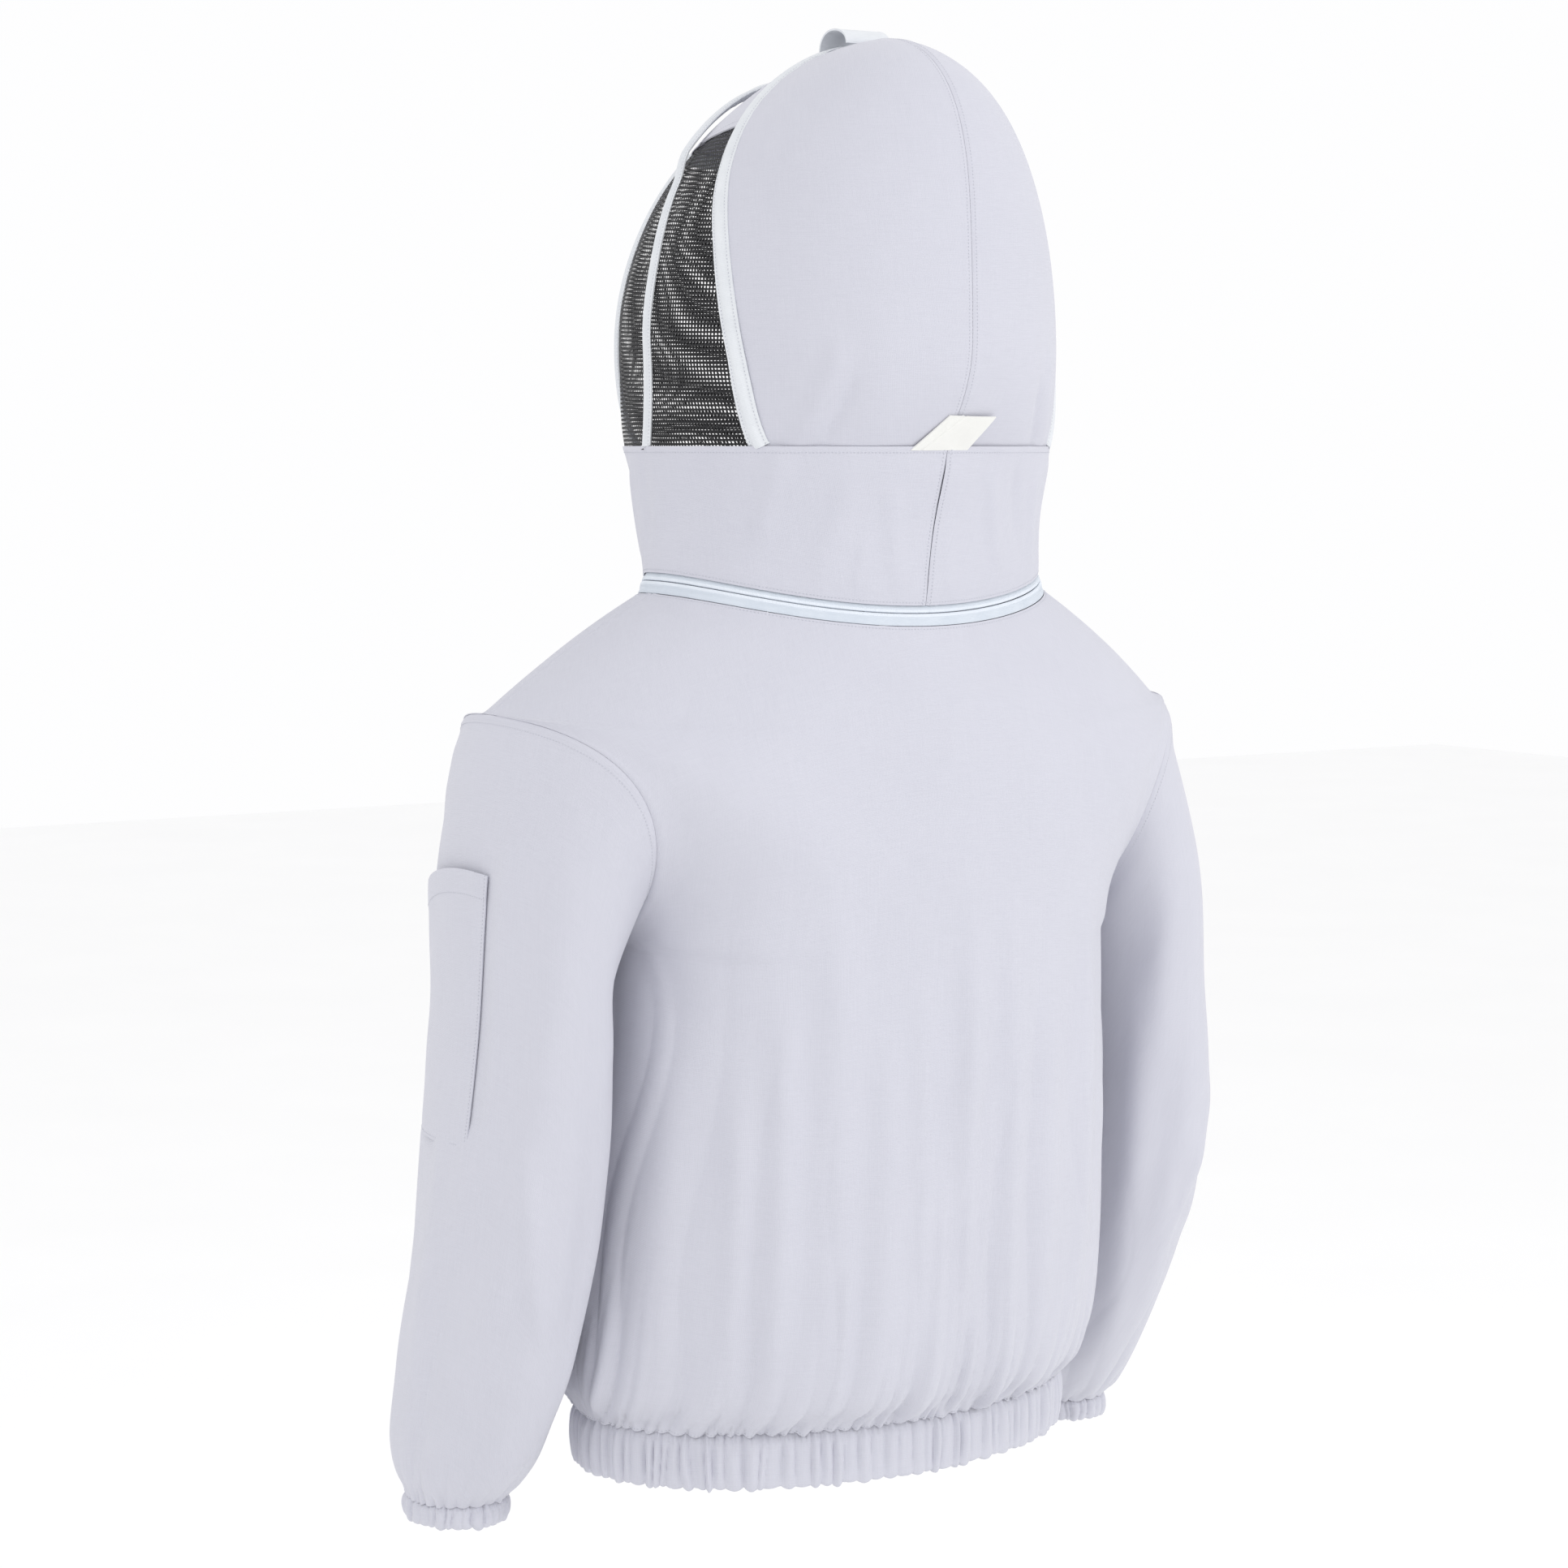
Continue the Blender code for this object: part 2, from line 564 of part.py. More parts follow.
def make_pockets():
    across = np.concatenate([[0, 0.07, 0.14, 0.22], np.linspace(0.3, 0.7, 3), [0.78, 0.86, 0.93, 1]])
    turn = np.radians(180.0 + 56.0 - 72.0 * across)
    t = np.concatenate([[0.447, 0.43], np.linspace(0.41, 0.15, 7)])
    grid = sleeve(t, turn)
    middle = sleeve_core(sleeve(t, np.linspace(0, 2 * math.pi, 21)[:-1]))[:, :1]
    patch_pocket("sleeve_pocket", grid, middle, POCKET_LIFT, POCKET_BULGE)
    v = np.concatenate([[0.155, 0.175], np.linspace(0.2, 0.33, 5)])
    for side, sign in (("left", 1.0), ("right", -1.0)):
        grid = torso(v[:, None], (0.2 + 0.36 * across)[None], back=False) * np.array([sign, 1.0, 1.0])
        patch_pocket(f"hip_pocket_{side}", grid, axis_of(grid), POCKET_LIFT, POCKET_BULGE)


# ---------------------------------------------------------------- zips

SLIDER_IN, SLIDER_OUT, SLIDER_HALF_WIDTH, SLIDER_WEB = 2.1, 3.3, 4.8, 0.55
SLIDER_LONG = 12.0
PULL_WIDE, PULL_LONG, PULL_THICK = 5.0, 20.0, 1.2
BAIL_GAP, BAIL_HIGH, BAIL_HALF_WIDTH, BAIL_LONG = 0.3, 1.9, 1.0, 5.0
PULL_GAP = 0.35  # from the slider's face to its pull
NECK_SLIDER_AT = 12.0  # x of a neck slider's middle with the zip shut
FRONT_SLIDER_AT = -36.0  # z of the front slider's middle with the zip shut


def make_neck_zip():
    end = math.asin(0.8 / NECK_HALF_WIDTH)
    angle = np.linspace(-math.pi + end, math.pi - end, 41)
    path = neck(angle)
    out, down = neck_directions(angle)
    for level, sign in (("upper", -1.0), ("lower", 1.0)):
        coil = strip(-1.3, 1.1, sign * ZIP_GAP, sign * ZIP_COIL)
        tape = strip(-1.1, -0.1, sign * (ZIP_COIL + 0.3), sign * ZIP_TAPE)
        add(f"neck_coil_{level}", sweep(sections(path, out, down, coil), False), COIL_WHITE, 0.45)
        add(f"neck_tape_{level}", sweep(sections(path, out, down, tape), False), TAPE_WHITE)


def slider(name, centre, along, out, across):
    """A slider that wraps both coils, with a raised bail over its middle, and its hinged pull."""
    ends = centre + np.outer((-SLIDER_LONG / 2, SLIDER_LONG / 2), along)
    frame = [np.tile(v, (2, 1)) for v in (out, across)]
    a, b, w, web = SLIDER_IN, SLIDER_OUT, SLIDER_HALF_WIDTH, SLIDER_WEB
    outline = ((-a, -w), (-b, -w), (-b, w), (-a, w), (-a, web), (a, web),
               (a, w), (b, w), (b, -w), (a, -w), (a, -web), (-a, -web))
    solid = sweep(sections(ends, *frame, outline), False)
    add(f"{name}_slider", solid, STEEL, 0.35, 0.9, pivot=centre)
    foot = SLIDER_OUT + BAIL_GAP
    bail = strip(foot, foot + BAIL_HIGH, -BAIL_HALF_WIDTH, BAIL_HALF_WIDTH)
    ends = centre + np.outer((-BAIL_LONG / 2, BAIL_LONG / 2), along)
    add(f"{name}_bail", sweep(sections(ends, *frame, bail), False), STEEL, 0.35, 0.9, pivot=centre)
    hinge = centre + along * (BAIL_LONG / 2 + PULL_THICK) + out * (SLIDER_OUT + PULL_GAP + PULL_THICK / 2)
    plate = strip(-PULL_THICK / 2, PULL_THICK / 2, -PULL_WIDE / 2, PULL_WIDE / 2)
    ends = hinge + np.outer((-PULL_THICK / 3, PULL_LONG), along)
    add(f"{name}_pull", sweep(sections(ends, *frame, plate), False), STEEL, 0.35, 0.9, pivot=hinge)


def make_neck_sliders():
    for side, sign in (("left", 1.0), ("right", -1.0)):
        angle = np.array([math.pi - sign * math.asin(NECK_SLIDER_AT / NECK_HALF_WIDTH)])
        out, down = (v[0] for v in neck_directions(angle))
        along = sign * np.cross(down, out)
        if along[0] * sign < 0:
            along = -along
        slider(f"neck_{side}", neck(angle)[0], along, out, down)


def make_front_zip():
    z = np.array([FRONT_TOP[2] - 1.5, HEM_BOTTOM + 3.5])
    path = np.stack([0 * z, front_line(z), z], -1)
    along = unit(path[1] - path[0])
    right = np.array([1.0, 0, 0])
    out = unit(np.cross(along, right))
    if out[1] > 0:
        out = -out
    frame = [np.tile(v, (2, 1)) for v in (out, right)]
    base = path - out * 0.9
    for side, sign in (("left", 1.0), ("right", -1.0)):
        coil = strip(-1.3, 1.1, sign * ZIP_GAP, sign * ZIP_COIL)
        tape = strip(-1.1, -0.1, sign * (ZIP_COIL + 0.3), sign * ZIP_SEAM)
        add(f"front_coil_{side}", sweep(sections(base, *frame, coil), False), COIL_WHITE, 0.45)
        add(f"front_tape_{side}", sweep(sections(base, *frame, tape), False), TAPE_WHITE)
    middle = np.array([0, front_line(FRONT_SLIDER_AT), FRONT_SLIDER_AT]) - out * 0.9
    slider("front", middle, along, out, right)


# ---------------------------------------------------------------- hood pieces


def hood_panel(name, grid, trims, thickness, colour):
    grid = grid.copy()
    grid[1:-1, 1:-1] = onto_hood(grid[1:-1, 1:-1])
    grid = trim(grid, *trims)
    grid = coons(*(even(line, len(line)) for line in (grid[0], grid[-1], grid[:, 0], grid[:, -1])))
    grid[1:-1, 1:-1] = onto_hood(grid[1:-1, 1:-1])
    centre = np.array([0, HOOD_MID_Y, 0]) + grid * np.array([0, 0, 1.0])
    centre[..., 2] = np.minimum(centre[..., 2], HOOD_CORE)
    panel(name, grid, centre, thickness, colour)


def both_sides(stem, grid, trims, thickness, colour):
    hood_panel(f"{stem}_left", grid, trims, thickness, colour)
    hood_panel(f"{stem}_right", mirrored(grid), trims, thickness, colour)


def make_hood():
    clear, corner = BINDING_CLEAR, BINDING_CLEAR + 3.0
    rear = rear_half(200)
    shoulder = int(np.argmin(np.abs(rear[:, 0] - 45) + (rear[:, 2] < 350) * 999))
    seam_z = np.linspace(COLLAR_TOP, CROWN - 0.5, 60)
    seam_up = hood_at(0 * seam_z, seam_z)
    seam_top = onto_hood(np.stack([np.zeros(8), np.linspace(CROWN_Y, 22, 8), np.full(8, 407.0)], -1))
    seam = even(np.concatenate([seam_up, seam_top[1:]]), 12)
    bottom = collar_edge(COLLAR_BACK, REAR_Y[0], 9)
    side = even(rear[: shoulder + 1], 12)
    top = even(rear[shoulder:], 9)[::-1]
    gaps = ((0.2, corner + 1.0), (SEAM, corner + 4.5))
    both_sides("hood_back", coons(bottom, top, seam, side), gaps, FABRIC, WHITE)

    def side_line(zs, ys, top_z, count):
        return even(hoop_side(zs, ys, np.linspace(COLLAR_TOP, top_z, 60)), count)

    def brim(point_a, point_b, count):
        """Lower edge of the visor between two points of the hood."""
        angles = hood_angle(np.array([point_a[1], point_b[1]]), np.array([point_a[2], point_b[2]]))
        return hood_at(np.linspace(*angles, count), np.linspace(point_a[2], point_b[2], count))

    rear_side = side_line(REAR_Z, REAR_Y, VISOR_SIDE, 9)
    middle_side = side_line(MIDDLE_Z, MIDDLE_Y, VISOR_MID, 9)
    front_side = side_line(FRONT_Z, FRONT_Y, VISOR_FRONT, 9)
    side_low = collar_edge(REAR_Y[0], MIDDLE_Y[0], 6)
    net = coons(side_low, brim(rear_side[-1], middle_side[-1], 6), rear_side, middle_side)
    both_sides("veil_side_mesh", net, ((0.3, 0.5), (clear, clear)), NET, BLACK)
    cheek_low = collar_edge(MIDDLE_Y[0], FRONT_Y[0], 6)
    net = coons(cheek_low, brim(middle_side[-1], front_side[-1], 6), middle_side, front_side)
    both_sides("veil_cheek_mesh", net, ((0.3, 0.5), (clear, clear)), NET, BLACK)
    foot = hood_angle(FRONT_Y[0], COLLAR_TOP)
    low = hood_at(np.linspace(foot, 2 * math.pi - foot, 15), np.full(15, COLLAR_TOP))
    temple = hood_angle(front_side[-1, 1], VISOR_FRONT)
    high = hood_at(np.linspace(temple, 2 * math.pi - temple, 15), np.full(15, VISOR_FRONT))
    net = coons(low, high, front_side, mirrored(front_side))
    hood_panel("veil_front_mesh", net, ((0.3, corner + 1.0), (corner, corner)), NET, BLACK)

    crown = rear[rear[:, 2] > VISOR_SIDE]
    crown = np.concatenate([[rear_side[-1]], crown[crown[:, 2] > VISOR_SIDE + 1]])
    back_edge = even(whole(crown), 15)
    edge = brim(middle_side[-1], front_side[-1], 30)
    brow = hood_at(np.linspace(temple, math.pi, 30)[1:], np.full(29, VISOR_FRONT))
    front_edge = even(whole(np.concatenate([edge, brow])), 15)
    left = brim(rear_side[-1], middle_side[-1], 8)
    visor = coons(back_edge, front_edge, left, mirrored(left))
    hood_panel("visor", visor, ((clear, clear + 0.4), (1.5, 1.5)), FABRIC, WHITE)


def make_hoops():
    for name, half in (("rear", rear_half), ("middle", middle_half), ("front", front_half)):
        path = whole(half(16))
        along = unit(np.gradient(path, axis=0))
        out = outward_at(path, along)
        wide = np.cross(along, out)
        path[[0, -1], 2] += WIRE
        if name == "middle":
            path += out * OVER_VISOR * smooth((path[:, 2:] - VISOR_MID + 32.0) / 24.0)
        ring = np.linspace(0, 2 * math.pi, 9)[:-1]
        oval = np.stack([BINDING_THICK * np.cos(ring), BINDING_WIDE * np.sin(ring)], -1)
        bore = BINDING_BORE * np.stack([np.cos(ring), np.sin(ring)], -1)
        solid = shell(sections(path, out, wide, oval), sections(path, out, wide, bore), wrap=True)
        add(f"hoop_binding_{name}", solid, TAPE_WHITE)
        rod = WIRE * np.stack([np.cos(ring[::2] + 0.4), np.sin(ring[::2] + 0.4)], -1)
        add(f"hoop_wire_{name}", sweep(sections(path, out, wide, rod), False), STEEL, 0.3, 1.0)


def outward_at(path, along):
    """Direction out of the hood at each point of a hoop, square to it."""
    step = 1.0
    away = unit(path - np.array([0, HOOD_MID_Y, 200.0]))
    side = unit(np.cross(along, away))
    near = onto_hood(path + side * step)
    n = unit(np.cross(near - path, along))
    n = np.where((n * away).sum(-1, keepdims=True) < 0, -n, n)
    return n


def make_collar():
    angle = np.linspace(0, math.pi, 14)
    t = np.linspace(0, 1, 5)[:, None, None]
    top = hood_at(angle, np.full(14, COLLAR_TOP - 0.3))
    low = neck(angle, down=-ZIP_SEAM)
    grid = top * (1 - t) + low * t
    grid = trim(grid, rows=(0.0, 0.3), cols=(SEAM, SEAM))
    panel("collar_left", grid, axis_of(grid), FABRIC, WHITE)
    panel("collar_right", mirrored(grid), axis_of(grid), FABRIC, WHITE)


def make_trims():
    # Hanging loop: a tape arch over the rear hoop, its feet on the crown and its top flat.
    base = onto_hood(np.array([[0, LOOP_Y + LOOP_HALF_SPAN, 407], [0, LOOP_Y - LOOP_HALF_SPAN, 404]]))
    t = np.linspace(0, 1, 12)
    arch = base[0] + (base[1] - base[0]) * t[:, None]
    arch[:, 1] = LOOP_Y + LOOP_HALF_SPAN * np.cos(math.pi * t)
    arch[:, 2] = LOOP_TOP + (arch[:, 2] + 1.0 - LOOP_TOP) * (1 - np.sin(math.pi * t) ** 0.8)
    arch[5:7, 2] = LOOP_TOP
    along = unit(np.gradient(arch, axis=0))
    along[5:7] = (0, -1, 0)
    normal = unit(np.cross(along, np.array([1.0, 0, 0])))
    normal *= np.sign(normal[5, 2])
    wide = np.array([LOOP_HALF_WIDTH, 0, 0])
    outer = np.stack([arch - wide, arch + wide], 1)
    add("hanging_loop", shell(outer, outer - LOOP_THICK * normal[:, None]), TAPE_WHITE)

    # Tape tab at the centre back: a slanted strip standing on the collar seam.
    z = np.linspace(COLLAR_TOP + 1.2, 140.0, 4)
    slant = (z - z[0]) / (z[-1] - z[0])
    first, last = 30.0 - 22.0 * slant, -17.0 - 15.0 * slant
    x = first[:, None] + (last - first)[:, None] * np.linspace(0, 1, 5)
    grid = hood_at(np.arcsin(x / hood_ring(z)[0][:, None]), np.broadcast_to(z[:, None], x.shape))
    n = outward(grid, axis_of(grid))
    add("back_tab", shell(grid + n * 3.2, grid + n * 0.9), TAPE_WHITE, pivot=TAB_HINGE)


def build():
    for old in list(bpy.data.objects):
        bpy.data.objects.remove(old, do_unlink=True)
    make_torso()
    make_hem()
    make_sleeves()
    make_pockets()
    make_neck_zip()
    make_neck_sliders()
    make_front_zip()
    make_collar()
    make_hood()
    make_hoops()
    make_trims()


build()
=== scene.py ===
"""Looks of the hooded beekeeping jacket: sewn cloth, net, zips, tapes and wire around the CAD frame.

The surface functions repeat those of the part's source, in millimetres, and the meshes are scaled
to metres when they are made. The wearer faces -Y and the wearer's left is +X.
"""

import math

import bpy
import mathutils
import numpy as np
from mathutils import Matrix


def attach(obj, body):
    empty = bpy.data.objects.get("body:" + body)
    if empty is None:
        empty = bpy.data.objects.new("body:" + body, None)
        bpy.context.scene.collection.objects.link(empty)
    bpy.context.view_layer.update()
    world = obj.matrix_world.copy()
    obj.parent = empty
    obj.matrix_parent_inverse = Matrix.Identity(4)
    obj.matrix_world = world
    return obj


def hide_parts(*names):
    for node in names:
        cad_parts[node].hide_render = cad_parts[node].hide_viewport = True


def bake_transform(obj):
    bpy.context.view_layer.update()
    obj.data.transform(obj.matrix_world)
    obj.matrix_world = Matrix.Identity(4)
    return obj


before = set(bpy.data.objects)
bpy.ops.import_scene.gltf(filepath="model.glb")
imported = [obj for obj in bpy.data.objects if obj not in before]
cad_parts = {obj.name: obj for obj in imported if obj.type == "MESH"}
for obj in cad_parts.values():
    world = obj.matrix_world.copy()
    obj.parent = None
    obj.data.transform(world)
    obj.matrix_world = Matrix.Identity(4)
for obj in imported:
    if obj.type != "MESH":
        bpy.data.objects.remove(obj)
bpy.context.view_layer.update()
MM = 0.001

# Surfaces, as in the part's source
COLLAR_TOP = 116.0
HOOD_WIDEST, CROWN, HOOD_CORE, CROWN_Y, HOOD_MID_Y = 190.0, 408.0, 220.0, 59.0, 10.0
HOOD_HALF_WIDTH, HOOD_BACK, HOOD_FRONT = 151.0, 109.0, 250.0
COLLAR_HALF_WIDTH, COLLAR_BACK, COLLAR_FRONT = 158.0, 137.0, -157.0
NECK_HALF_WIDTH, NECK_HALF_DEPTH, NECK_MID_Y = 160.0, 105.0, 9.0
NECK_SIDE_RISE, NECK_FRONT_DROP, NECK_FLARE = 23.0, 10.0, 0.4
ZIP_COIL, ZIP_TAPE, ZIP_SEAM = 3.2, 8.6, 9.9  # distances from the zip's middle line
HEM_TOP, HEM_BOTTOM = -580.0, -620.0
HEM_HALF_WIDTH, HEM_HALF_DEPTH, HEM_MID_Y = 199.0, 132.0, -21.5
ZIP_OPENING = 10.4
UNDERARM, SHOULDER_TIP, ARMHOLE_HALF_DEPTH = (205.0, -10.0, -230.0), (280.0, -17.0, -69.0), 113.0
V_UNDERARM, V_TIP = 0.45, 0.75
CUFF_CENTRE, CUFF_HALF_WIDTH, CUFF_HALF_DEPTH = (272.0, -88.0), 36.0, 41.0
CUFF_TOP, CUFF_HEIGHT = -638.6, 16.0
OVER_VISOR = 5.4
VISOR_SIDE, VISOR_MID, VISOR_FRONT = 345.0, 336.0, 330.0
LOOP_Y, LOOP_TOP, LOOP_HALF_WIDTH, LOOP_HALF_SPAN = 22.0, 418.0, 19.0, 17.0

# Cloth
CLOTH = 0.55  # thickness of the poly-cotton
TAPE = 0.8
NET_PITCH, NET_THREAD = 3.0, 1.35
STITCH = 2.6  # pitch of a row of stitches
CASING_TUCK = 3.0  # how far a casing's top edge runs up behind the cloth that it is sewn to
HIP_POCKET_ROWS, HIP_POCKET_SPAN = (0.155, 0.33), (0.2, 0.56)  # shares of a front, up it and across it
SLEEVE_POCKET_ROWS = (0.447, 0.15)  # shares of a sleeve, from the pocket's bottom to its mouth
SLEEVE_POCKET_TURN = (236.0, 164.0)  # degrees round it, from its inner side backwards
GATHERED = 1.15  # length of a gathered casing's cloth for each length of its elastic at rest


# ---------------------------------------------------------------- curves and grids


def smooth(t):
    t = np.clip(t, 0.0, 1.0)
    return t * t * (3.0 - 2.0 * t)


def through(knots, values, at):
    """A smooth curve through control values: cubic, with slopes from the neighbours."""
    knots = np.asarray(knots, float)
    values = np.asarray(values, float)
    at = np.atleast_1d(np.asarray(at, float))
    slopes = np.gradient(values, knots, axis=0)
    i = np.clip(np.searchsorted(knots, at) - 1, 0, len(knots) - 2)
    shape = (-1,) + (1,) * (values.ndim - 1)
    h = (knots[i + 1] - knots[i]).reshape(shape)
    t = ((at - knots[i]).reshape(shape)) / h
    start = (2 * t**3 - 3 * t**2 + 1) * values[i] + (t**3 - 2 * t**2 + t) * h * slopes[i]
    end = (3 * t**2 - 2 * t**3) * values[i + 1] + (t**3 - t**2) * h * slopes[i + 1]
    return start + end


def hump(x, width, power=2):
    """1 at zero, falling to almost nothing past the width: a bell, or a plateau for a high power."""
    return np.exp(-((x / width) ** power))


def unit(v):
    return v / np.maximum(np.linalg.norm(v, axis=-1, keepdims=True), 1e-9)


def outward(grid, centre, wrap=False):
    """Unit normals of a grid of points, turned away from the centre."""
    along = np.gradient(grid, axis=0)
    across = np.roll(grid, -1, 1) - np.roll(grid, 1, 1) if wrap else np.gradient(grid, axis=1)
    n = unit(np.cross(across, along))
    return -n if (n * (grid - centre)).sum() < 0 else n


def coons(bottom, top, left, right):
    """Fills four border curves: bottom and top run along columns, left and right along rows."""
    v = np.linspace(0, 1, len(left))[:, None, None]
    u = np.linspace(0, 1, len(bottom))[None, :, None]
    ruled = (1 - v) * bottom[None] + v * top[None] + (1 - u) * left[:, None] + u * right[:, None]
    corners = (
        (1 - v) * (1 - u) * bottom[0] + (1 - v) * u * bottom[-1] + v * (1 - u) * top[0] + v * u * top[-1]
    )
    return ruled - corners


SIDES = (("left", 1.0), ("right", -1.0))
SIDEWAYS, UP = np.array([1.0, 0, 0]), np.array([0, 0, 1.0])


def on_side(points, sign):
    """Points of the wearer's left side, moved to the right side when the sign is negative."""
    return points * np.array([sign, 1.0, 1.0])


def mirrored(points):
    return on_side(points, -1.0)


def middle_line(grid, y=-5.0):
    """Points on an upright line inside the jacket, level with the grid's points."""
    return grid * UP + np.array([0, y, 0])


def lengths(grid, axis):
    """Distance along a grid's rows or columns from its first line, for each point."""
    step = np.linalg.norm(np.diff(grid, axis=axis), axis=-1)
    first = np.zeros_like(np.take(step, [0], axis=axis))
    return np.cumsum(np.concatenate([first, step], axis=axis), axis=axis)


def distances(path):
    """Distance along a line of points from its first, for each point."""
    return lengths(path[:, None], 0)[:, 0]


def sampled(points, far, at):
    """Points at some distances along a line, from its points and their own distances."""
    return np.stack([np.interp(at, far, points[:, k]) for k in range(3)], -1)


def even(points, count):
    """Resamples a line of points to a count, evenly along it."""
    far = distances(points)
    return sampled(points, far, np.linspace(0, far[-1], count))


def full_turn(count):
    """Angles evenly spaced all the way round."""
    return np.linspace(0, 2 * math.pi, count, endpoint=False)


def joined(grid):
    """A grid with its first column once more at its end."""
    return np.concatenate([grid, grid[:, :1]], 1)


def quad_area(a, b, c, d):
    """Area of all the quads with these corners."""
    return (np.linalg.norm(np.cross(b - a, c - a), axis=-1).sum()
            + np.linalg.norm(np.cross(c - a, d - a), axis=-1).sum()) / 2


def area_of(grid, wrap=False):
    g = joined(grid) if wrap else grid
    return quad_area(g[:-1, :-1], g[:-1, 1:], g[1:, 1:], g[1:, :-1])


# ---------------------------------------------------------------- hood surface


def hood_ring(z):
    """Half width, middle, back reach and front reach of the hood's ring at a height."""
    z = np.asarray(z, float)
    u = np.clip((z - HOOD_WIDEST) / (CROWN - HOOD_WIDEST), 0.0, 0.99999)
    low = np.sin(np.clip((z - COLLAR_TOP) / (HOOD_WIDEST - COLLAR_TOP), 0, 1) * math.pi / 2)
    round_in = (1 - u**2) ** 0.6
    wide = np.where(z < HOOD_WIDEST, COLLAR_HALF_WIDTH + (HOOD_HALF_WIDTH - COLLAR_HALF_WIDTH) * low,
                    HOOD_HALF_WIDTH * round_in)
    middle = HOOD_MID_Y + (CROWN_Y - HOOD_MID_Y) * u**2
    back_low = COLLAR_BACK + (CROWN_Y + HOOD_BACK - COLLAR_BACK) * low
    front_low = COLLAR_FRONT + (CROWN_Y - HOOD_FRONT - COLLAR_FRONT) * low
    back = np.where(z < HOOD_WIDEST, back_low, CROWN_Y + HOOD_BACK * np.sqrt(1 - u**4))
    front = np.where(z < HOOD_WIDEST, front_low, CROWN_Y - HOOD_FRONT * round_in)
    return wide, middle, back - middle, middle - front


def hood_at(angle, z):
    """Point of the hood at an angle from the centre back towards the wearer's left."""
    wide, middle, back, front = hood_ring(z)
    c = np.cos(angle)
    return np.stack([wide * np.sin(angle), middle + np.where(c > 0, back, front) * c, z + 0 * c], -1)


def hood_angle(y, z):
    """Angle at which the hood's ring at a height passes a given y."""
    _, middle, back, front = hood_ring(z)
    away = y - middle
    return np.arccos(np.clip(away / np.where(away > 0, back, front), -1, 1))


def onto_hood(points):
    """Moves points out or in to the hood's surface, along rays from inside it."""
    core = np.stack([0 * points[..., 0], 0 * points[..., 0] + HOOD_MID_Y,
                     np.minimum(points[..., 2], HOOD_CORE)], -1)
    ray = points - core
    near = np.full(points.shape[:-1], 0.3)
    far = np.full(points.shape[:-1], 3.0)
    for _ in range(30):
        k = (near + far) / 2
        p = core + ray * k[..., None]
        wide, middle, back, front = hood_ring(p[..., 2])
        away = p[..., 1] - middle
        outside = (p[..., 0] / wide) ** 2 + (away / np.where(away > 0, back, front)) ** 2 > 1
        outside |= p[..., 2] > CROWN
        far = np.where(outside, k, far)
        near = np.where(outside, near, k)
    return core + ray * ((near + far) / 2)[..., None]


# Each hoop is the line where the hood passes these y at these heights, on the wearer's left.
REAR_Z, REAR_Y = (COLLAR_TOP, 182, 254, 314, 368, 395, 405.5), (89, 77, 59, 36, 20, 20, 22)
MIDDLE_Z, MIDDLE_Y = (COLLAR_TOP, 194, 254, 305, 350, 380.5), (-10, -22, -24, -34, -42, -48)
FRONT_Z, FRONT_Y = (COLLAR_TOP, 200, 260, 300, VISOR_FRONT), (-123, -118, -105, -92, -80)


def hoop_side(zs, ys, z):
    y = through(zs, ys, z)
    return hood_at(hood_angle(y, z), z)


def over_crown(zs, ys, side_top, crown_y, crown_z, count):
    """A hoop from the collar, up the wearer's left side, to the middle of the crown."""
    side = hoop_side(zs, ys, np.linspace(COLLAR_TOP, side_top, 60))
    crown = np.stack([np.linspace(side[-1, 0], 0, 12)[1:], np.linspace(side[-1, 1], crown_y, 12)[1:],
                      np.full(11, crown_z)], -1)
    return even(np.concatenate([side, onto_hood(crown)]), count)


def rear_half(count):
    return over_crown(REAR_Z, REAR_Y, 402.0, 22, 404.0, count)


def middle_half(count):
    return over_crown(MIDDLE_Z, MIDDLE_Y, 372.0, -48, 378.0, count)


def front_half(count):
    side = hoop_side(FRONT_Z, FRONT_Y, np.linspace(COLLAR_TOP, VISOR_FRONT, 50))
    start = hood_angle(side[-1, 1], VISOR_FRONT)
    brow = hood_at(np.linspace(start, math.pi, 20)[1:], np.full(19, VISOR_FRONT))
    return even(np.concatenate([side, brow]), count)


def whole(half):
    """A hoop from the wearer's left foot over the head to the right foot."""
    return np.concatenate([half, mirrored(half[-2::-1])])


def collar_edge(y_from, y_to, count):
    """The collar's top line on the wearer's left between two y."""
    ends = hood_angle(np.array([y_from, y_to], float), np.array([COLLAR_TOP] * 2))
    return hood_at(np.linspace(ends[0], ends[1], count), np.full(count, COLLAR_TOP))


def outward_at(path, along):
    """Direction out of the hood at each point of a hoop, square to it."""
    away = unit(path - np.array([0, HOOD_MID_Y, 200.0]))
    side = unit(np.cross(along, away))
    near = onto_hood(path + side)
    n = unit(np.cross(near - path, along))
    return np.where((n * away).sum(-1, keepdims=True) < 0, -n, n)


# ---------------------------------------------------------------- neck, torso and sleeve surfaces


def neck_directions(angle):
    """Outward across the zip band, and down along it."""
    flat = unit(np.stack([np.sin(angle) * NECK_HALF_DEPTH, np.cos(angle) * NECK_HALF_WIDTH, 0 * angle], -1))
    d = unit(flat * NECK_FLARE - UP)
    o = unit(flat + UP * NECK_FLARE)
    return o, d


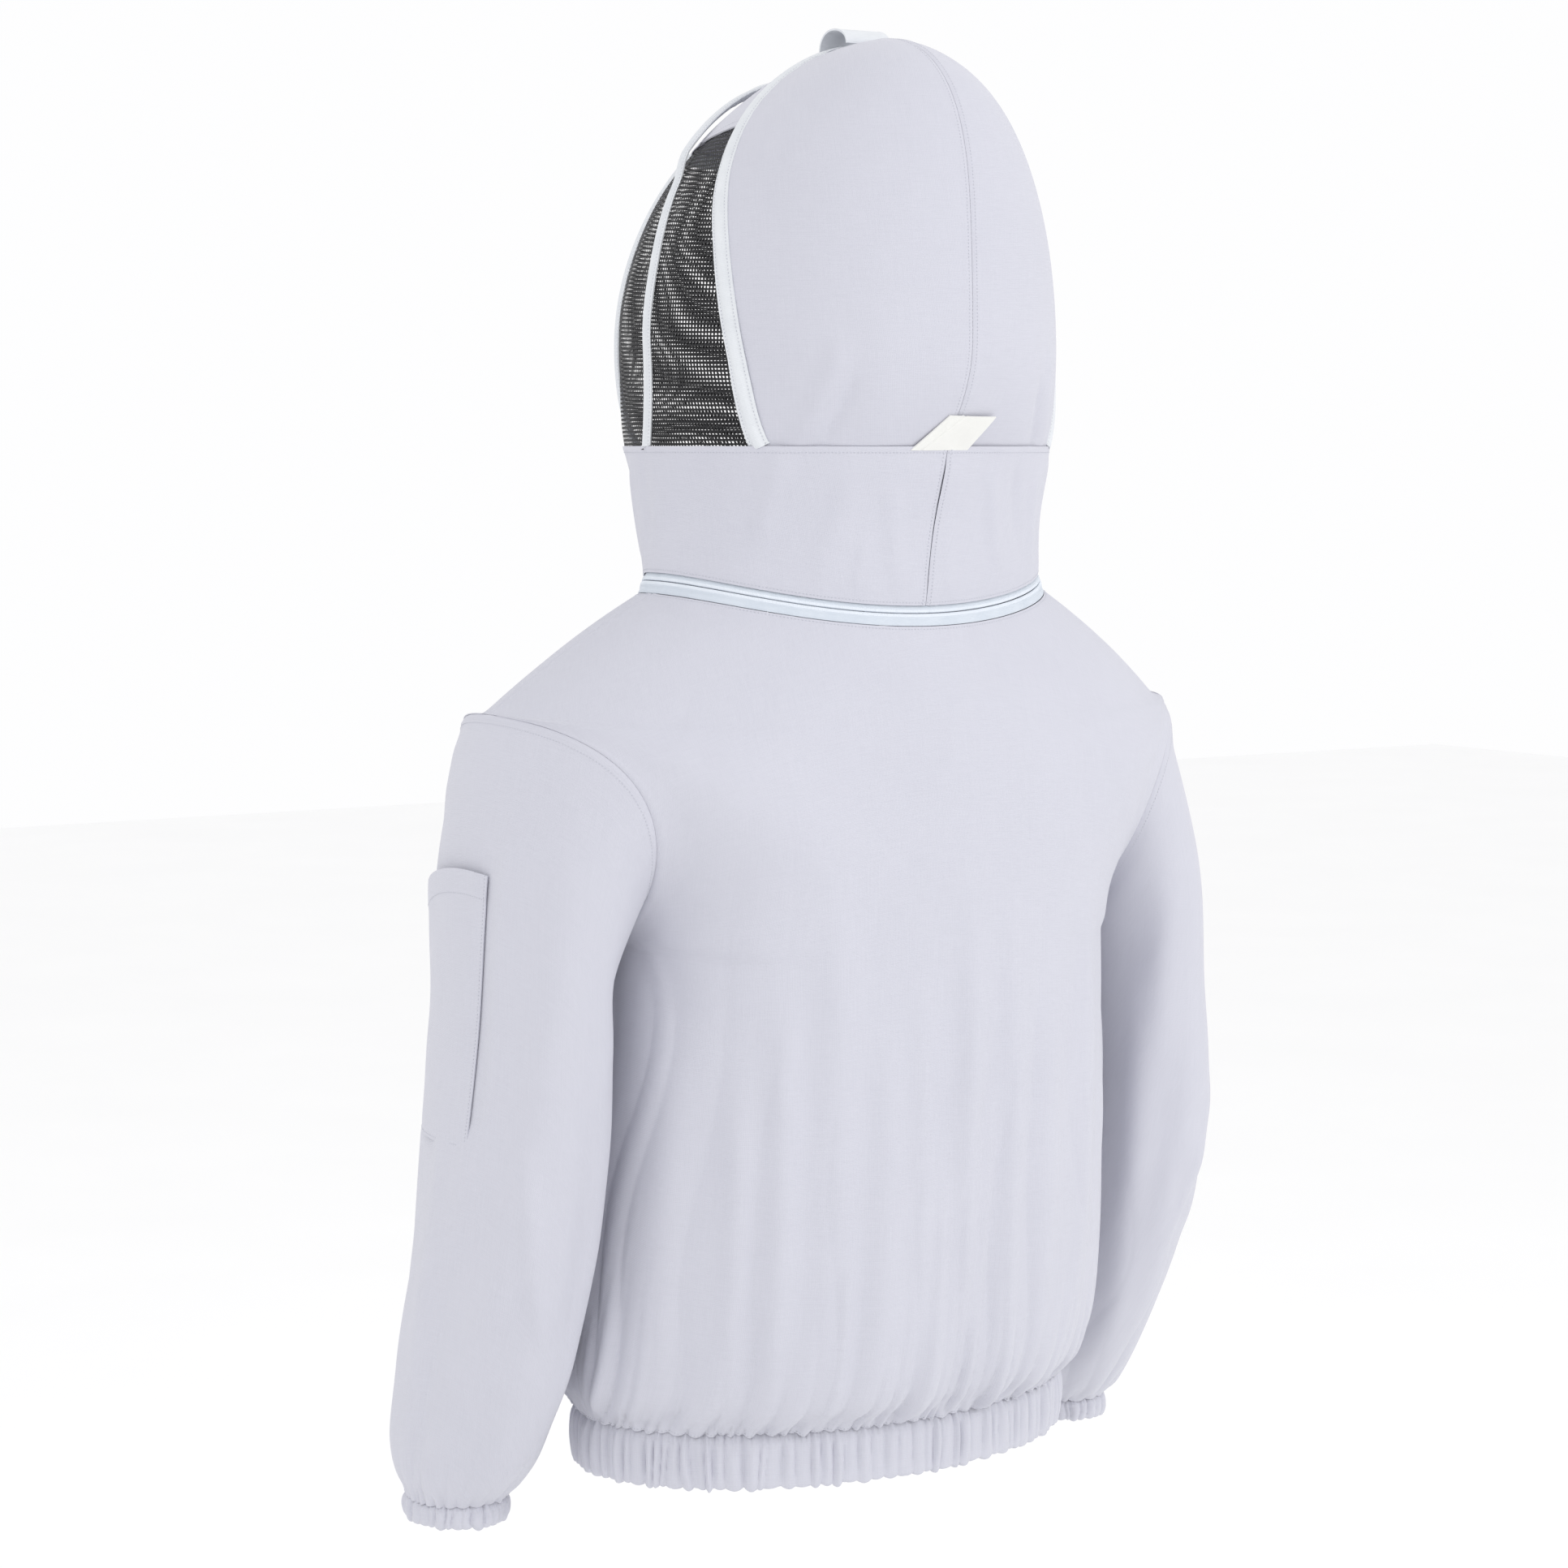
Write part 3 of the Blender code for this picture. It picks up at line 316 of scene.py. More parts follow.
def neck(angle, down=0.0, out=0.0):
    """Point of the neck zip's line at an angle from the centre back, moved down the band and out."""
    s, c = np.sin(angle), np.cos(angle)
    front = -NECK_FRONT_DROP + (NECK_SIDE_RISE + NECK_FRONT_DROP) * smooth((np.abs(s) - 0.625) / 0.375)
    height = np.where(c > 0, NECK_SIDE_RISE * s**2, front)
    line = np.stack([NECK_HALF_WIDTH * s, NECK_MID_Y + NECK_HALF_DEPTH * c, height], -1)
    o, d = neck_directions(angle)
    return line + d * np.asarray(down)[..., None] + o * np.asarray(out)[..., None]


FRONT_TOP = neck(np.array([math.pi]), down=ZIP_SEAM)[0]
FRONT_LEAN = (HEM_HALF_DEPTH - HEM_MID_Y + FRONT_TOP[1]) / (HEM_TOP - FRONT_TOP[2])


def front_line(z):
    """y of the straight front zip at a height."""
    return FRONT_TOP[1] + FRONT_LEAN * (FRONT_TOP[2] - z)


def armhole(angle):
    """Armhole seam on the wearer's left: 0 at the underarm, 90 at the back, 180 at the shoulder tip."""
    low, tip = np.array(UNDERARM), np.array(SHOULDER_TIP)
    s = np.sin(angle)[..., None]
    bend = np.array([-21.0, 0.0, 22.0]) * s**2 + np.array([0, ARMHOLE_HALF_DEPTH, 0]) * s
    return (low + tip) / 2 - (tip - low) / 2 * np.cos(angle)[..., None] + bend


CENTRE_V = (0, 0.08, 0.2, 0.33, 0.45, 0.6, 0.75, 0.9, 1)
BACK_Y = (110.5, 134, 150, 157, 158, 154, 140, 124)
BACK_Z = (HEM_TOP, -552, -470, -350, -245, -160, -75, -30)
FRONT_Z_OF_V = (HEM_TOP, -552, -470, -350, -250, -165, -90, -42)
SIDE_V = (0, 0.08, 0.2, 0.33, 0.45)
SIDE_POINTS = ((HEM_HALF_WIDTH, HEM_MID_Y, HEM_TOP), (209, -21, -552), (212, -18, -470),
               (209, -14, -350), UNDERARM)


def centre_point(v, back):
    """The torso's line at the centre back or centre front, from the hem to the neck."""
    if back:
        end = neck(np.array([0.0]), down=ZIP_SEAM)[0]
        y = through(CENTRE_V, (*BACK_Y, end[1]), v)
        return np.stack([0 * y, y, through(CENTRE_V, (*BACK_Z, end[2]), v)], -1)
    z = through(CENTRE_V, (*FRONT_Z_OF_V, FRONT_TOP[2]), v)
    return np.stack([0 * z, front_line(z), z], -1)


def side_point(v, back):
    """Outer border of a torso panel: side seam, armhole, then shoulder seam."""
    v = np.asarray(v, float)
    seam = through(SIDE_V, SIDE_POINTS, np.minimum(v, V_UNDERARM))
    turn = np.clip((v - V_UNDERARM) / (V_TIP - V_UNDERARM), 0, 1) * math.pi
    loop = armhole(turn if back else 2 * math.pi - turn)
    end = neck(np.array([math.pi / 2]), down=ZIP_SEAM)[0]
    t = np.clip((v - V_TIP) / (1 - V_TIP), 0, 1)[:, None]
    tip = np.array(SHOULDER_TIP)
    shoulder = tip + (end - tip) * t + np.array([0, 0, 5.0]) * np.sin(math.pi * t)
    v = v[:, None]
    return np.where(v < V_UNDERARM, seam, np.where(v < V_TIP, loop, shoulder))


def torso(v, s, back):
    """Point of the torso on the wearer's left: v from hem to neck, s from the centre to the side."""
    v, s = np.broadcast_arrays(np.asarray(v, float), np.asarray(s, float))
    shape = v.shape
    v, s = v.ravel(), s.ravel()
    turn = 1.0 if back else -1.0
    start, end = centre_point(v, back), side_point(v, back)
    open_arm = (np.sin(np.clip((v - V_UNDERARM) / (V_TIP - V_UNDERARM), 0, 1) * math.pi) ** 2)[:, None]
    along = unit(np.concatenate([1.3 * open_arm, -turn + 0 * open_arm, -0.15 * open_arm], 1))
    roundness = through((0, 0.12, 0.6, 1), (0.552, 0.62, 0.62, 0.552), v)[:, None]
    depth = np.abs(start[:, 1:2] - end[:, 1:2])
    p1 = start + SIDEWAYS * roundness * end[:, :1]
    p2 = end - along * (roundness * depth * (1 - open_arm) + 55.0 * open_arm)
    t = s[:, None]
    line = (1 - t) ** 3 * start + 3 * (1 - t) ** 2 * t * p1 + 3 * (1 - t) * t**2 * p2 + t**3 * end
    return (line + neck_pull(v, s, back)).reshape(*shape, 3)


def neck_pull(v, s, back):
    """Bends the rows near the neck onto the neck line itself."""
    angle = s * math.pi / 2 if back else math.pi - s * math.pi / 2
    end = neck(np.array([math.pi / 2]), down=ZIP_SEAM)[0]
    start = centre_point(np.array([1.0]), back)[0]
    side = np.array([0.0, 1.0 if back else -1.0, 0.0])
    t = s[:, None]
    p1 = start + SIDEWAYS * 0.552 * end[0]
    p2 = end + side * 0.552 * abs(start[1] - end[1])
    line = (1 - t) ** 3 * start + 3 * (1 - t) ** 2 * t * p1 + 3 * (1 - t) * t**2 * p2 + t**3 * end
    return (neck(angle, down=ZIP_SEAM) - line) * smooth((v - 0.82) / 0.18)[:, None]


# Distance along the sleeve, then inner z, outer z, inner x, outer x, middle y, half depth
SLEEVE_RINGS = (
    (0.115, -262, -150, 211.5, 297, -12, 103),
    (0.307, -304, -290, 214.5, 309, -10, 95),
    (0.44, -366, -364, 217, 317, -12, 92),
    (0.615, -450, -450, 218.5, 321, -28, 90),
    (0.81, -546, -546, 220, 320, -56, 80),
    (0.92, -600, -600, 225, 317, -75, 64),
)


def sleeve(t, angle):
    """Point of the left sleeve: t from armhole to cuff, angle from the inner side towards the back."""
    s, c = np.sin(angle), np.cos(angle)
    rings = [armhole(angle) + np.array([1.2, 0, 0])]
    for _, z_in, z_out, x_in, x_out, y, depth in SLEEVE_RINGS:
        rings.append(np.stack([(x_in + x_out) / 2 - (x_out - x_in) / 2 * c, y + depth * s,
                               (z_in + z_out) / 2 + (z_in - z_out) / 2 * c], -1))
    rings.append(np.stack([CUFF_CENTRE[0] - CUFF_HALF_WIDTH * c, CUFF_CENTRE[1] + CUFF_HALF_DEPTH * s,
                           CUFF_TOP + 0 * c], -1))
    knots = [0.0, *(ring[0] for ring in SLEEVE_RINGS), 1.0]
    return through(knots, np.array(rings), t)


# ---------------------------------------------------------------- relief: folds, gathers and puckers


def chance(seed):
    return np.random.RandomState(seed)


def puckers(u, seed, spacing, period=None):
    """Round ridges with sharp valleys, irregularly spaced along u: 0 in a valley, up to 1 on a ridge."""
    rng = chance(seed)
    span = period or (u.max() - u.min()) + 4 * spacing
    steps = spacing * rng.uniform(0.5, 1.5, max(3, int(span / spacing)))
    steps *= span / steps.sum()
    start = 0.0 if period else u.min() - 2 * spacing
    edges = start + np.concatenate([[0], np.cumsum(steps)])
    height = rng.uniform(0.3, 1.0, len(steps))
    along = np.mod(u, period) if period else u
    i = np.clip(np.searchsorted(edges, along, side="right") - 1, 0, len(steps) - 1)
    t = np.clip((along - edges[i]) / steps[i], 0, 1)
    return height[i] * np.sin(math.pi * t) ** 0.8


def drift(a, b, seed, size):
    """Soft unevenness over two measures, about -1 to 1."""
    rng = chance(seed)
    total = 0.0
    for _ in range(7):
        turn, phase, pace = rng.uniform(0, 2 * math.pi, 2).tolist() + [rng.uniform(0.5, 1.5)]
        total = total + np.sin((a * math.cos(turn) + b * math.sin(turn)) * 2 * math.pi * pace / size + phase)
    return total / 3.5


def crease(a, b, start, end, width, height, sharp=0.0):
    """A soft fold along the line from start to end, over measures a and b. Sharp tips it to one side."""
    run = np.array(end, float) - np.array(start, float)
    long = float(np.hypot(*run))
    run /= long
    t = ((a - start[0]) * run[0] + (b - start[1]) * run[1]) / long
    off = (a - start[0]) * -run[1] + (b - start[1]) * run[0]
    off = off / width
    body = np.exp(-off**2) + sharp * off * np.exp(-off**2 * 0.8)
    return height * body * smooth(t / 0.3) * smooth((1 - t) / 0.3)


def gathers(u, rise, seed, height, spacings=(8.5, 19.0, 46.0), reaches=(13.0, 38.0, 120.0), period=None):
    """Gathers that run up from a stitched line: fine ones die out first, wide ones reach further."""
    total = 0.0
    for i, (spacing, reach) in enumerate(zip(spacings, reaches)):
        reach = reach * (1 + 0.35 * drift(u, 0 * u, seed + 40 + i, spacing * 5))
        wander = u + rise * 0.10 * drift(u, rise, seed + 20 + i, 240.0)
        share = puckers(wander, seed + i, spacing, period) - 0.45
        start = smooth(rise / (spacing * 0.45)) if i else 1.0
        total = total + share * (0.5, 0.8, 1.0)[i] * np.exp(-((np.maximum(rise, 0) / reach) ** 1.3)) * start
    return height * total


# ---------------------------------------------------------------- meshes


def quads(rows, cols, wrap_cols, wrap_rows=False):
    """The four points round each gap of a grid, numbered row by row."""
    i, j = np.mgrid[0 : rows if wrap_rows else rows - 1, 0 : cols if wrap_cols else cols - 1]
    k, m = (i + 1) % rows, (j + 1) % cols
    return np.stack([i * cols + j, i * cols + m, k * cols + m, k * cols + j], -1).reshape(-1, 4)


def shell_faces(rows, cols, wrap):
    """Faces of a closed solid between two grids, the outer one first."""
    count = rows * cols
    outer = quads(rows, cols, wrap)
    parts = [outer, outer[:, ::-1] + count]
    j = np.arange(cols if wrap else cols - 1)
    k = (j + 1) % cols
    i = np.arange(rows - 1)
    last = (rows - 1) * cols
    rims = [(j, k, True), (last + j, last + k, False)]
    if not wrap:
        first = i * cols
        rims += [(first, first + cols, False), (first + cols - 1, first + 2 * cols - 1, True)]
    for a, b, flip in rims:
        rim = np.stack([a, b, count + b, count + a], -1)
        parts.append(rim[:, ::-1] if flip else rim)
    return np.concatenate(parts)


def squared(wave, power):
    """A sine or cosine pushed out towards 1 and -1: outlines between an ellipse and a rectangle."""
    return np.sign(wave) * np.abs(wave) ** power


def mesh_object(name, points, faces, uv=None, sharp=50.0):
    """One object from points in millimetres and quads or triangles, with uv in millimetres for each point."""
    mesh = bpy.data.meshes.new(name)
    faces = np.asarray(faces)
    sides = faces.shape[1]
    mesh.vertices.add(len(points))
    mesh.vertices.foreach_set("co", (np.asarray(points) * MM).astype(np.float32).ravel())
    mesh.loops.add(faces.size)
    mesh.loops.foreach_set("vertex_index", faces.astype(np.int32).ravel())
    mesh.polygons.add(len(faces))
    mesh.polygons.foreach_set("loop_start", np.arange(0, faces.size, sides, dtype=np.int32))
    mesh.update(calc_edges=True)
    layer = mesh.uv_layers.new(name="cloth")
    if uv is None:
        uv = np.asarray(points)[:, [0, 2]]
    layer.data.foreach_set("uv", uv[faces.ravel()].astype(np.float32).ravel())
    mesh.shade_smooth()
    mesh.set_sharp_from_angle(angle=math.radians(sharp))
    mesh.validate()
    made = bpy.data.objects.new(name, mesh)
    bpy.context.scene.collection.objects.link(made)
    return made


def fix_winding(points, faces):
    """Turns all faces round if the solid's volume comes out negative."""
    a, b, c = (points[faces[:, i]] for i in (0, 1, 2))
    volume = np.einsum("ij,ij->i", a, np.cross(b, c)).sum()
    if faces.shape[1] == 4:
        volume += np.einsum("ij,ij->i", a, np.cross(c, points[faces[:, 3]])).sum()
    return faces if volume > 0 else faces[:, ::-1]


class Sheet:
    """A sewn panel: its smooth cut, its shaped outer face and that face's normals, in millimetres."""

    def __init__(self, name, grid, centre, relief=0.0, wrap=False, thickness=CLOTH):
        self.name, self.wrap, self.cut = name, wrap, grid
        n = outward(grid, centre, wrap)
        self.face = grid + n * np.broadcast_to(relief, grid.shape[:2])[..., None]
        self.normal = outward(self.face, centre, wrap)
        self.across = lengths(grid, 1)
        self.up = lengths(grid, 0)
        back = self.face - self.normal * thickness
        points = np.concatenate([self.face.reshape(-1, 3), back.reshape(-1, 3)])
        faces = fix_winding(points, shell_faces(*grid.shape[:2], wrap))
        flat = np.stack([self.across - self.across.mean(1, keepdims=True), self.up], -1).reshape(-1, 2)
        self.obj = mesh_object(name, points, faces, np.concatenate([flat, flat]))

    def declare(self):
        grid = joined(self.cut) if self.wrap else self.cut
        wide = float(lengths(grid, 1)[:, -1].max()) * MM
        long = float(lengths(grid, 0)[-1].max()) * MM
        area = min(area_of(self.cut, self.wrap) * MM * MM, wide * long)

    def line(self, edge, inset):
        """Points and normals along one border of the outer face, moved in from it by a distance."""
        if edge in ("bottom", "top"):
            face, normal, up = self.face, self.normal, self.up
        else:
            face, normal, up = (np.swapaxes(a, 0, 1) for a in (self.face, self.normal, self.across))
        if edge in ("top", "right"):
            face, normal = face[::-1], normal[::-1]
            up = (up[-1:] - up)[::-1]
        points, normals = (np.array([sampled(a[:, j], up[:, j], inset) for j in range(face.shape[1])])
                           for a in (face, normal))
        return points, unit(normals)


def along_line(points, normals, pitch):
    """Places a pitch apart along a line: points, directions and normals."""
    far = distances(points)
    at = np.arange(pitch / 2, far[-1], pitch)
    p = sampled(points, far, at)
    return p, unit(np.gradient(p, axis=0)), unit(sampled(normals, far, at))


BAR = ((-1, -1), (-1, 1), (1, 1), (1, -1))


def stitches(name, lines, long=1.7, wide=0.45, high=0.28, pitch=STITCH):
    """Rows of thread stitches as one object: each stitch is a short bar that dips at its ends."""
    points, faces = [], []
    outline = np.array(BAR, float) * (wide / 2, high / 2)
    for line in lines:
        p, d, n = along_line(*line, pitch)
        if len(p) < 2:
            continue
        side = unit(np.cross(d, n))
        rings = []
        for t, sink, thin in ((-0.5, -0.25, 0.6), (-0.25, 0.1, 1.0), (0.25, 0.1, 1.0), (0.5, -0.25, 0.6)):
            middle = p + d * long * t + n * sink
            rings.append(middle[:, None] + side[:, None] * (outline[None, :, :1] * thin)
                         + n[:, None] * (outline[None, :, 1:] * thin))
        ring = np.stack(rings, 1)
        base = len(np.concatenate(points)) if points else 0
        points.append(ring.reshape(-1, 3))
        q = [(r * 4 + a, r * 4 + (a + 1) % 4, r * 4 + 4 + (a + 1) % 4, r * 4 + 4 + a)
             for r in range(3) for a in range(4)]
        q += [(3, 2, 1, 0), (12, 13, 14, 15)]
        one = np.array(q)
        block = (base + np.arange(len(p))[:, None, None] * 16 + one[None]).reshape(-1, 4)
        faces.append(block)
    points, faces = np.concatenate(points), np.concatenate(faces)
    return mesh_object(name, points, fix_winding(points, faces))


def swept(name, stations):
    """A solid swept through outlines of equal length, one at each station, with end caps as fans."""
    count, sides = stations.shape[:2]
    faces = quads(count, sides, True)
    along = lengths(stations, 0)[:, :1] + np.zeros((1, sides))
    uv = np.stack([lengths(stations, 1), along], -1).reshape(-1, 2)
    points = np.concatenate([stations.reshape(-1, 3), stations[[0, -1]].mean(1)])
    j = np.arange(sides)
    m = (j + 1) % sides
    last = (count - 1) * sides
    first_cap = np.stack([m, j, 0 * j + count * sides], -1)
    last_cap = np.stack([last + j, last + m, 0 * j + count * sides + 1], -1)
    faces = np.concatenate([faces[:, [0, 1, 2]], faces[:, [0, 2, 3]], first_cap, last_cap])
    return mesh_object(name, points, fix_winding(points, faces), np.concatenate([uv, np.zeros((2, 2))]))


def sections(path, out, up, outline):
    """Places a flat outline of (out, up) pairs at each point of a path."""
    outline = np.asarray(outline, float)
    if outline.ndim == 2:
        outline = outline[None]
    return path[:, None] + outline[..., :1] * out[:, None] + outline[..., 1:] * up[:, None]


# ---------------------------------------------------------------- materials


class Nodes:
    """Short names for building a material's nodes."""

    def __init__(self, name):
        self.made = bpy.data.materials.new(name)
        self.made.use_nodes = True
        self.tree = self.made.node_tree
        self.shader = self.tree.nodes["Principled BSDF"]

    def link(self, value, socket):
        if isinstance(value, bpy.types.NodeSocket):
            self.tree.links.new(value, socket)
        else:
            socket.default_value = value

    def node(self, kind, inputs=None, **settings):
        made = self.tree.nodes.new(kind)
        for key, value in settings.items():
            setattr(made, key, value)
        for key, value in (inputs or {}).items():
            self.link(value, made.inputs[key])
        return made

    def look(self, sockets):
        """Sets the shader's sockets, each to a value or from a node."""
        for key, value in sockets.items():
            self.link(value, self.shader.inputs[key])
        return self.made

    def math(self, operation, a, b=0.0):
        return self.node("ShaderNodeMath", {0: a, 1: b}, operation=operation).outputs[0]

    def ribs(self, value, pitch):
        """Round ridges a pitch apart, from 0 between them to 1 on top."""
        return self.math("ABSOLUTE", self.math("SINE", self.math("MULTIPLY", value, math.pi / pitch)))

    def share(self, a, b, of_a):
        """Weighted mean of two values."""
        return self.math("ADD", self.math("MULTIPLY", a, of_a), self.math("MULTIPLY", b, 1.0 - of_a))

    def place(self):
        return self.node("ShaderNodeNewGeometry").outputs["Position"]

    def uv(self):
        flat = self.node("ShaderNodeUVMap", uv_map="cloth").outputs[0]
        return self.node("ShaderNodeSeparateXYZ", {0: flat}).outputs[:2]

    def noise(self, vector, scale, detail=3.0, rough=0.5):
        made = self.node("ShaderNodeTexNoise", {"Vector": vector, "Scale": scale, "Detail": detail,
                                                "Roughness": rough})
        return made.outputs[0]

    def ramp(self, value, low, high, from_low=0.0, from_high=1.0):
        made = self.node("ShaderNodeMapRange", {0: value, 1: from_low, 2: from_high, 3: low, 4: high})
        return made.outputs[0]

    def mix(self, share, a, b):
        made = self.node("ShaderNodeMix", data_type="RGBA")
        for key, value in (("Factor", share), ("A", a), ("B", b)):
            kind = "VALUE" if key == "Factor" else "RGBA"
            socket = next(s for s in made.inputs if s.name == key and s.type == kind)
            self.link(value, socket)
        return next(s for s in made.outputs if s.type == "RGBA")

    def bump(self, height, strength, distance, normal=None):
        inputs = {"Height": height, "Strength": strength, "Distance": distance}
        if normal is not None:
            inputs["Normal"] = normal
        return self.node("ShaderNodeBump", inputs).outputs[0]


def plain_weave(n, u, v, pitch):
    """Height of a plain weave: threads of pitch millimetres that pass over and under each other."""
    a, b = n.math("DIVIDE", u, pitch), n.math("DIVIDE", v, pitch)
    warp, weft = n.ribs(a, 1.0), n.ribs(b, 1.0)
    parity = n.math("ADD", n.math("FLOOR", a), n.math("FLOOR", b))
    over = n.math("FLOORED_MODULO", parity, 2.0)
    high = n.math("MULTIPLY", warp, n.math("ADD", 0.55, n.math("MULTIPLY", weft, 0.45)))
    low = n.math("MULTIPLY", weft, n.math("ADD", 0.55, n.math("MULTIPLY", warp, 0.45)))
    return n.node("ShaderNodeMix", {0: over, 2: high, 3: low}).outputs[0]


def cotton(name, colour, shade):
    """Poly-cotton: a plain weave with slubs along both threads, faint creasing and soft unevenness."""
    n = Nodes(name)
    u, v = n.uv()
    weave = plain_weave(n, u, v, 0.9)
    place = n.place()
    warp = n.node("ShaderNodeCombineXYZ", {0: n.math("MULTIPLY", u, 1.6), 1: n.math("MULTIPLY", v, 0.035)})
    weft = n.node("ShaderNodeCombineXYZ", {0: n.math("MULTIPLY", u, 0.05), 1: n.math("MULTIPLY", v, 1.5)})
    slub_up = n.noise(warp.outputs[0], 1.0, 2.0)
    slub_across = n.noise(weft.outputs[0], 1.0, 2.0)
    slub = n.share(slub_up, slub_across, 0.5)
    cloud = n.noise(place, 14.0, 4.0, 0.6)
    tint = n.share(n.share(slub, cloud, 0.75), weave, 0.8)
    colour_out = n.mix(n.ramp(tint, 0.0, 1.0, 0.28, 0.62), (*shade, 1.0), (*colour, 1.0))
    crumple = n.noise(place, 55.0, 3.0, 0.55)
    soft = n.bump(crumple, 0.18, 0.0012)
    threads = n.bump(slub, 0.25, 0.0004, soft)
    return n.look({"Base Color": colour_out, "Roughness": n.ramp(slub, 0.94, 0.78, 0.3, 0.7),
                   "Sheen Weight": 0.25, "Sheen Roughness": 0.5, "Specular IOR Level": 0.25,
                   "Normal": n.bump(weave, 0.35, 0.00025, threads)})


def tape_cloth(name, colour, shade, rib=0.9):
    """Woven tape: ribs across its length, with firmer edges."""
    n = Nodes(name)
    u, v = n.uv()
    weave = n.share(n.ribs(v, rib), n.ribs(u, rib * 0.8), 0.6)
    place = n.place()
    cloud = n.noise(place, 60.0, 4.0, 0.6)
    tint = n.ramp(n.share(cloud, weave, 0.6), 0.0, 1.0, 0.3, 0.7)
    return n.look({"Base Color": n.mix(tint, (*shade, 1.0), (*colour, 1.0)),
                   "Roughness": n.ramp(weave, 0.85, 0.7), "Sheen Weight": 0.2, "Specular IOR Level": 0.3,
                   "Normal": n.bump(weave, 0.5, 0.0003, n.bump(cloud, 0.2, 0.0006))})


def net_thread():
    """Black net yarn: twisted filament with a slight sheen."""
    n = Nodes("net_black")
    u, v = n.uv()
    twist = n.math("SINE", n.math("MULTIPLY", n.math("ADD", u, v), 2 * math.pi / 0.7))
    place = n.place()
    fibre = n.noise(place, 900.0, 2.0)
    share = n.ramp(n.math("ADD", n.math("MULTIPLY", twist, 0.25), fibre), 0.0, 1.0, 0.2, 0.9)
    return n.look({"Base Color": n.mix(share, (0.003, 0.003, 0.004, 1), (0.022, 0.022, 0.026, 1)),
                   "Roughness": n.ramp(fibre, 0.5, 0.75), "Specular IOR Level": 0.35,
                   "Normal": n.bump(twist, 0.4, 0.0001)})


def nylon_coil():
    """Coil behind its tape: bright, with fine crosswise ribs."""
    n = Nodes("coil_white")
    ribs = n.ribs(n.uv()[1], 0.75)
    place = n.place()
    cloud = n.noise(place, 80.0, 3.0)
    tint = n.mix(n.share(ribs, cloud, 0.5), (0.66, 0.72, 0.80, 1), (0.80, 0.84, 0.90, 1))
    return n.look({"Base Color": tint, "Roughness": n.ramp(cloud, 0.35, 0.55), "Specular IOR Level": 0.5,
                   "Normal": n.bump(ribs, 0.5, 0.0003)})


def metal(name, colour, low, high):
    """Plated metal: brushed streaks, darker in its pits, and brighter along its sharp outer edges."""
    n = Nodes(name)
    place = n.node("ShaderNodeNewGeometry")
    streak = n.node("ShaderNodeVectorMath", {0: place.outputs["Position"], 1: (4000.0, 900.0, 500.0)},
                    operation="MULTIPLY").outputs[0]
    brushed = n.noise(streak, 1.0, 4.0, 0.6)
    pits = n.noise(place.outputs["Position"], 700.0, 3.0)
    # Brighter base colour on convex edges, taken from the mesh's pointiness.
    bright_edges = n.ramp(place.outputs["Pointiness"], 0.0, 1.0, 0.49, 0.56)
    dark = tuple(0.6 * c for c in colour)
    bright = tuple(min(1.0, 1.25 * c) for c in colour)
    base = n.mix(n.ramp(pits, 0.0, 1.0, 0.35, 0.6), (*dark, 1.0), (*colour, 1.0))
    return n.look({"Base Color": n.mix(bright_edges, base, (*bright, 1.0)), "Metallic": 1.0,
                   "Roughness": n.ramp(brushed, low, high, 0.3, 0.7),
                   "Normal": n.bump(brushed, 0.15, 0.00005)})


def woven_elastic():
    """Elastic: cords along its length under a knitted cover."""
    n = Nodes("elastic_white")
    place = n.place()
    split = n.node("ShaderNodeSeparateXYZ", {0: place})
    cords = n.ribs(split.outputs[2], 0.0016)
    knit = n.noise(place, 600.0, 3.0)
    share = n.share(cords, knit, 0.6)
    return n.look({"Base Color": n.mix(share, (0.52, 0.52, 0.5, 1), (0.8, 0.8, 0.78, 1)),
                   "Roughness": n.ramp(knit, 0.7, 0.9), "Normal": n.bump(share, 0.5, 0.0004)})


# Each cloth's lit colour, then its shaded one
COTTON = cotton("cotton_white", (0.605, 0.608, 0.675), (0.55, 0.553, 0.62))
TAPE_CLOTH = tape_cloth("tape_white", (0.76, 0.78, 0.81), (0.67, 0.695, 0.73))
CREAM_TAPE = tape_cloth("tape_cream", (0.86, 0.86, 0.83), (0.79, 0.79, 0.76), 0.7)
ZIP_TAPE_CLOTH = tape_cloth("zip_tape", (0.68, 0.73, 0.80), (0.58, 0.64, 0.72), 0.5)
THREAD = tape_cloth("thread_white", (0.58, 0.59, 0.65), (0.46, 0.47, 0.53), 0.4)
NET = net_thread()
COIL = nylon_coil()
PLATED = metal("slider_metal", (0.62, 0.62, 0.64), 0.22, 0.42)
SPRING = metal("hoop_wire", (0.55, 0.55, 0.57), 0.25, 0.4)
ELASTIC = woven_elastic()


def finish(obj, material, body, replaces=()):
    """Gives a piece its material and body, and the CAD solids that it stands for."""
    obj.data.materials.clear()
    obj.data.materials.append(material)
    if body:
        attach(obj, body)
    if replaces:
        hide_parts(*replaces)
    return obj


# ---------------------------------------------------------------- hood and collar


def hood_centre(grid):
    centre = np.array([0, HOOD_MID_Y, 0]) + grid * UP
    centre[..., 2] = np.minimum(centre[..., 2], HOOD_CORE)
    return centre


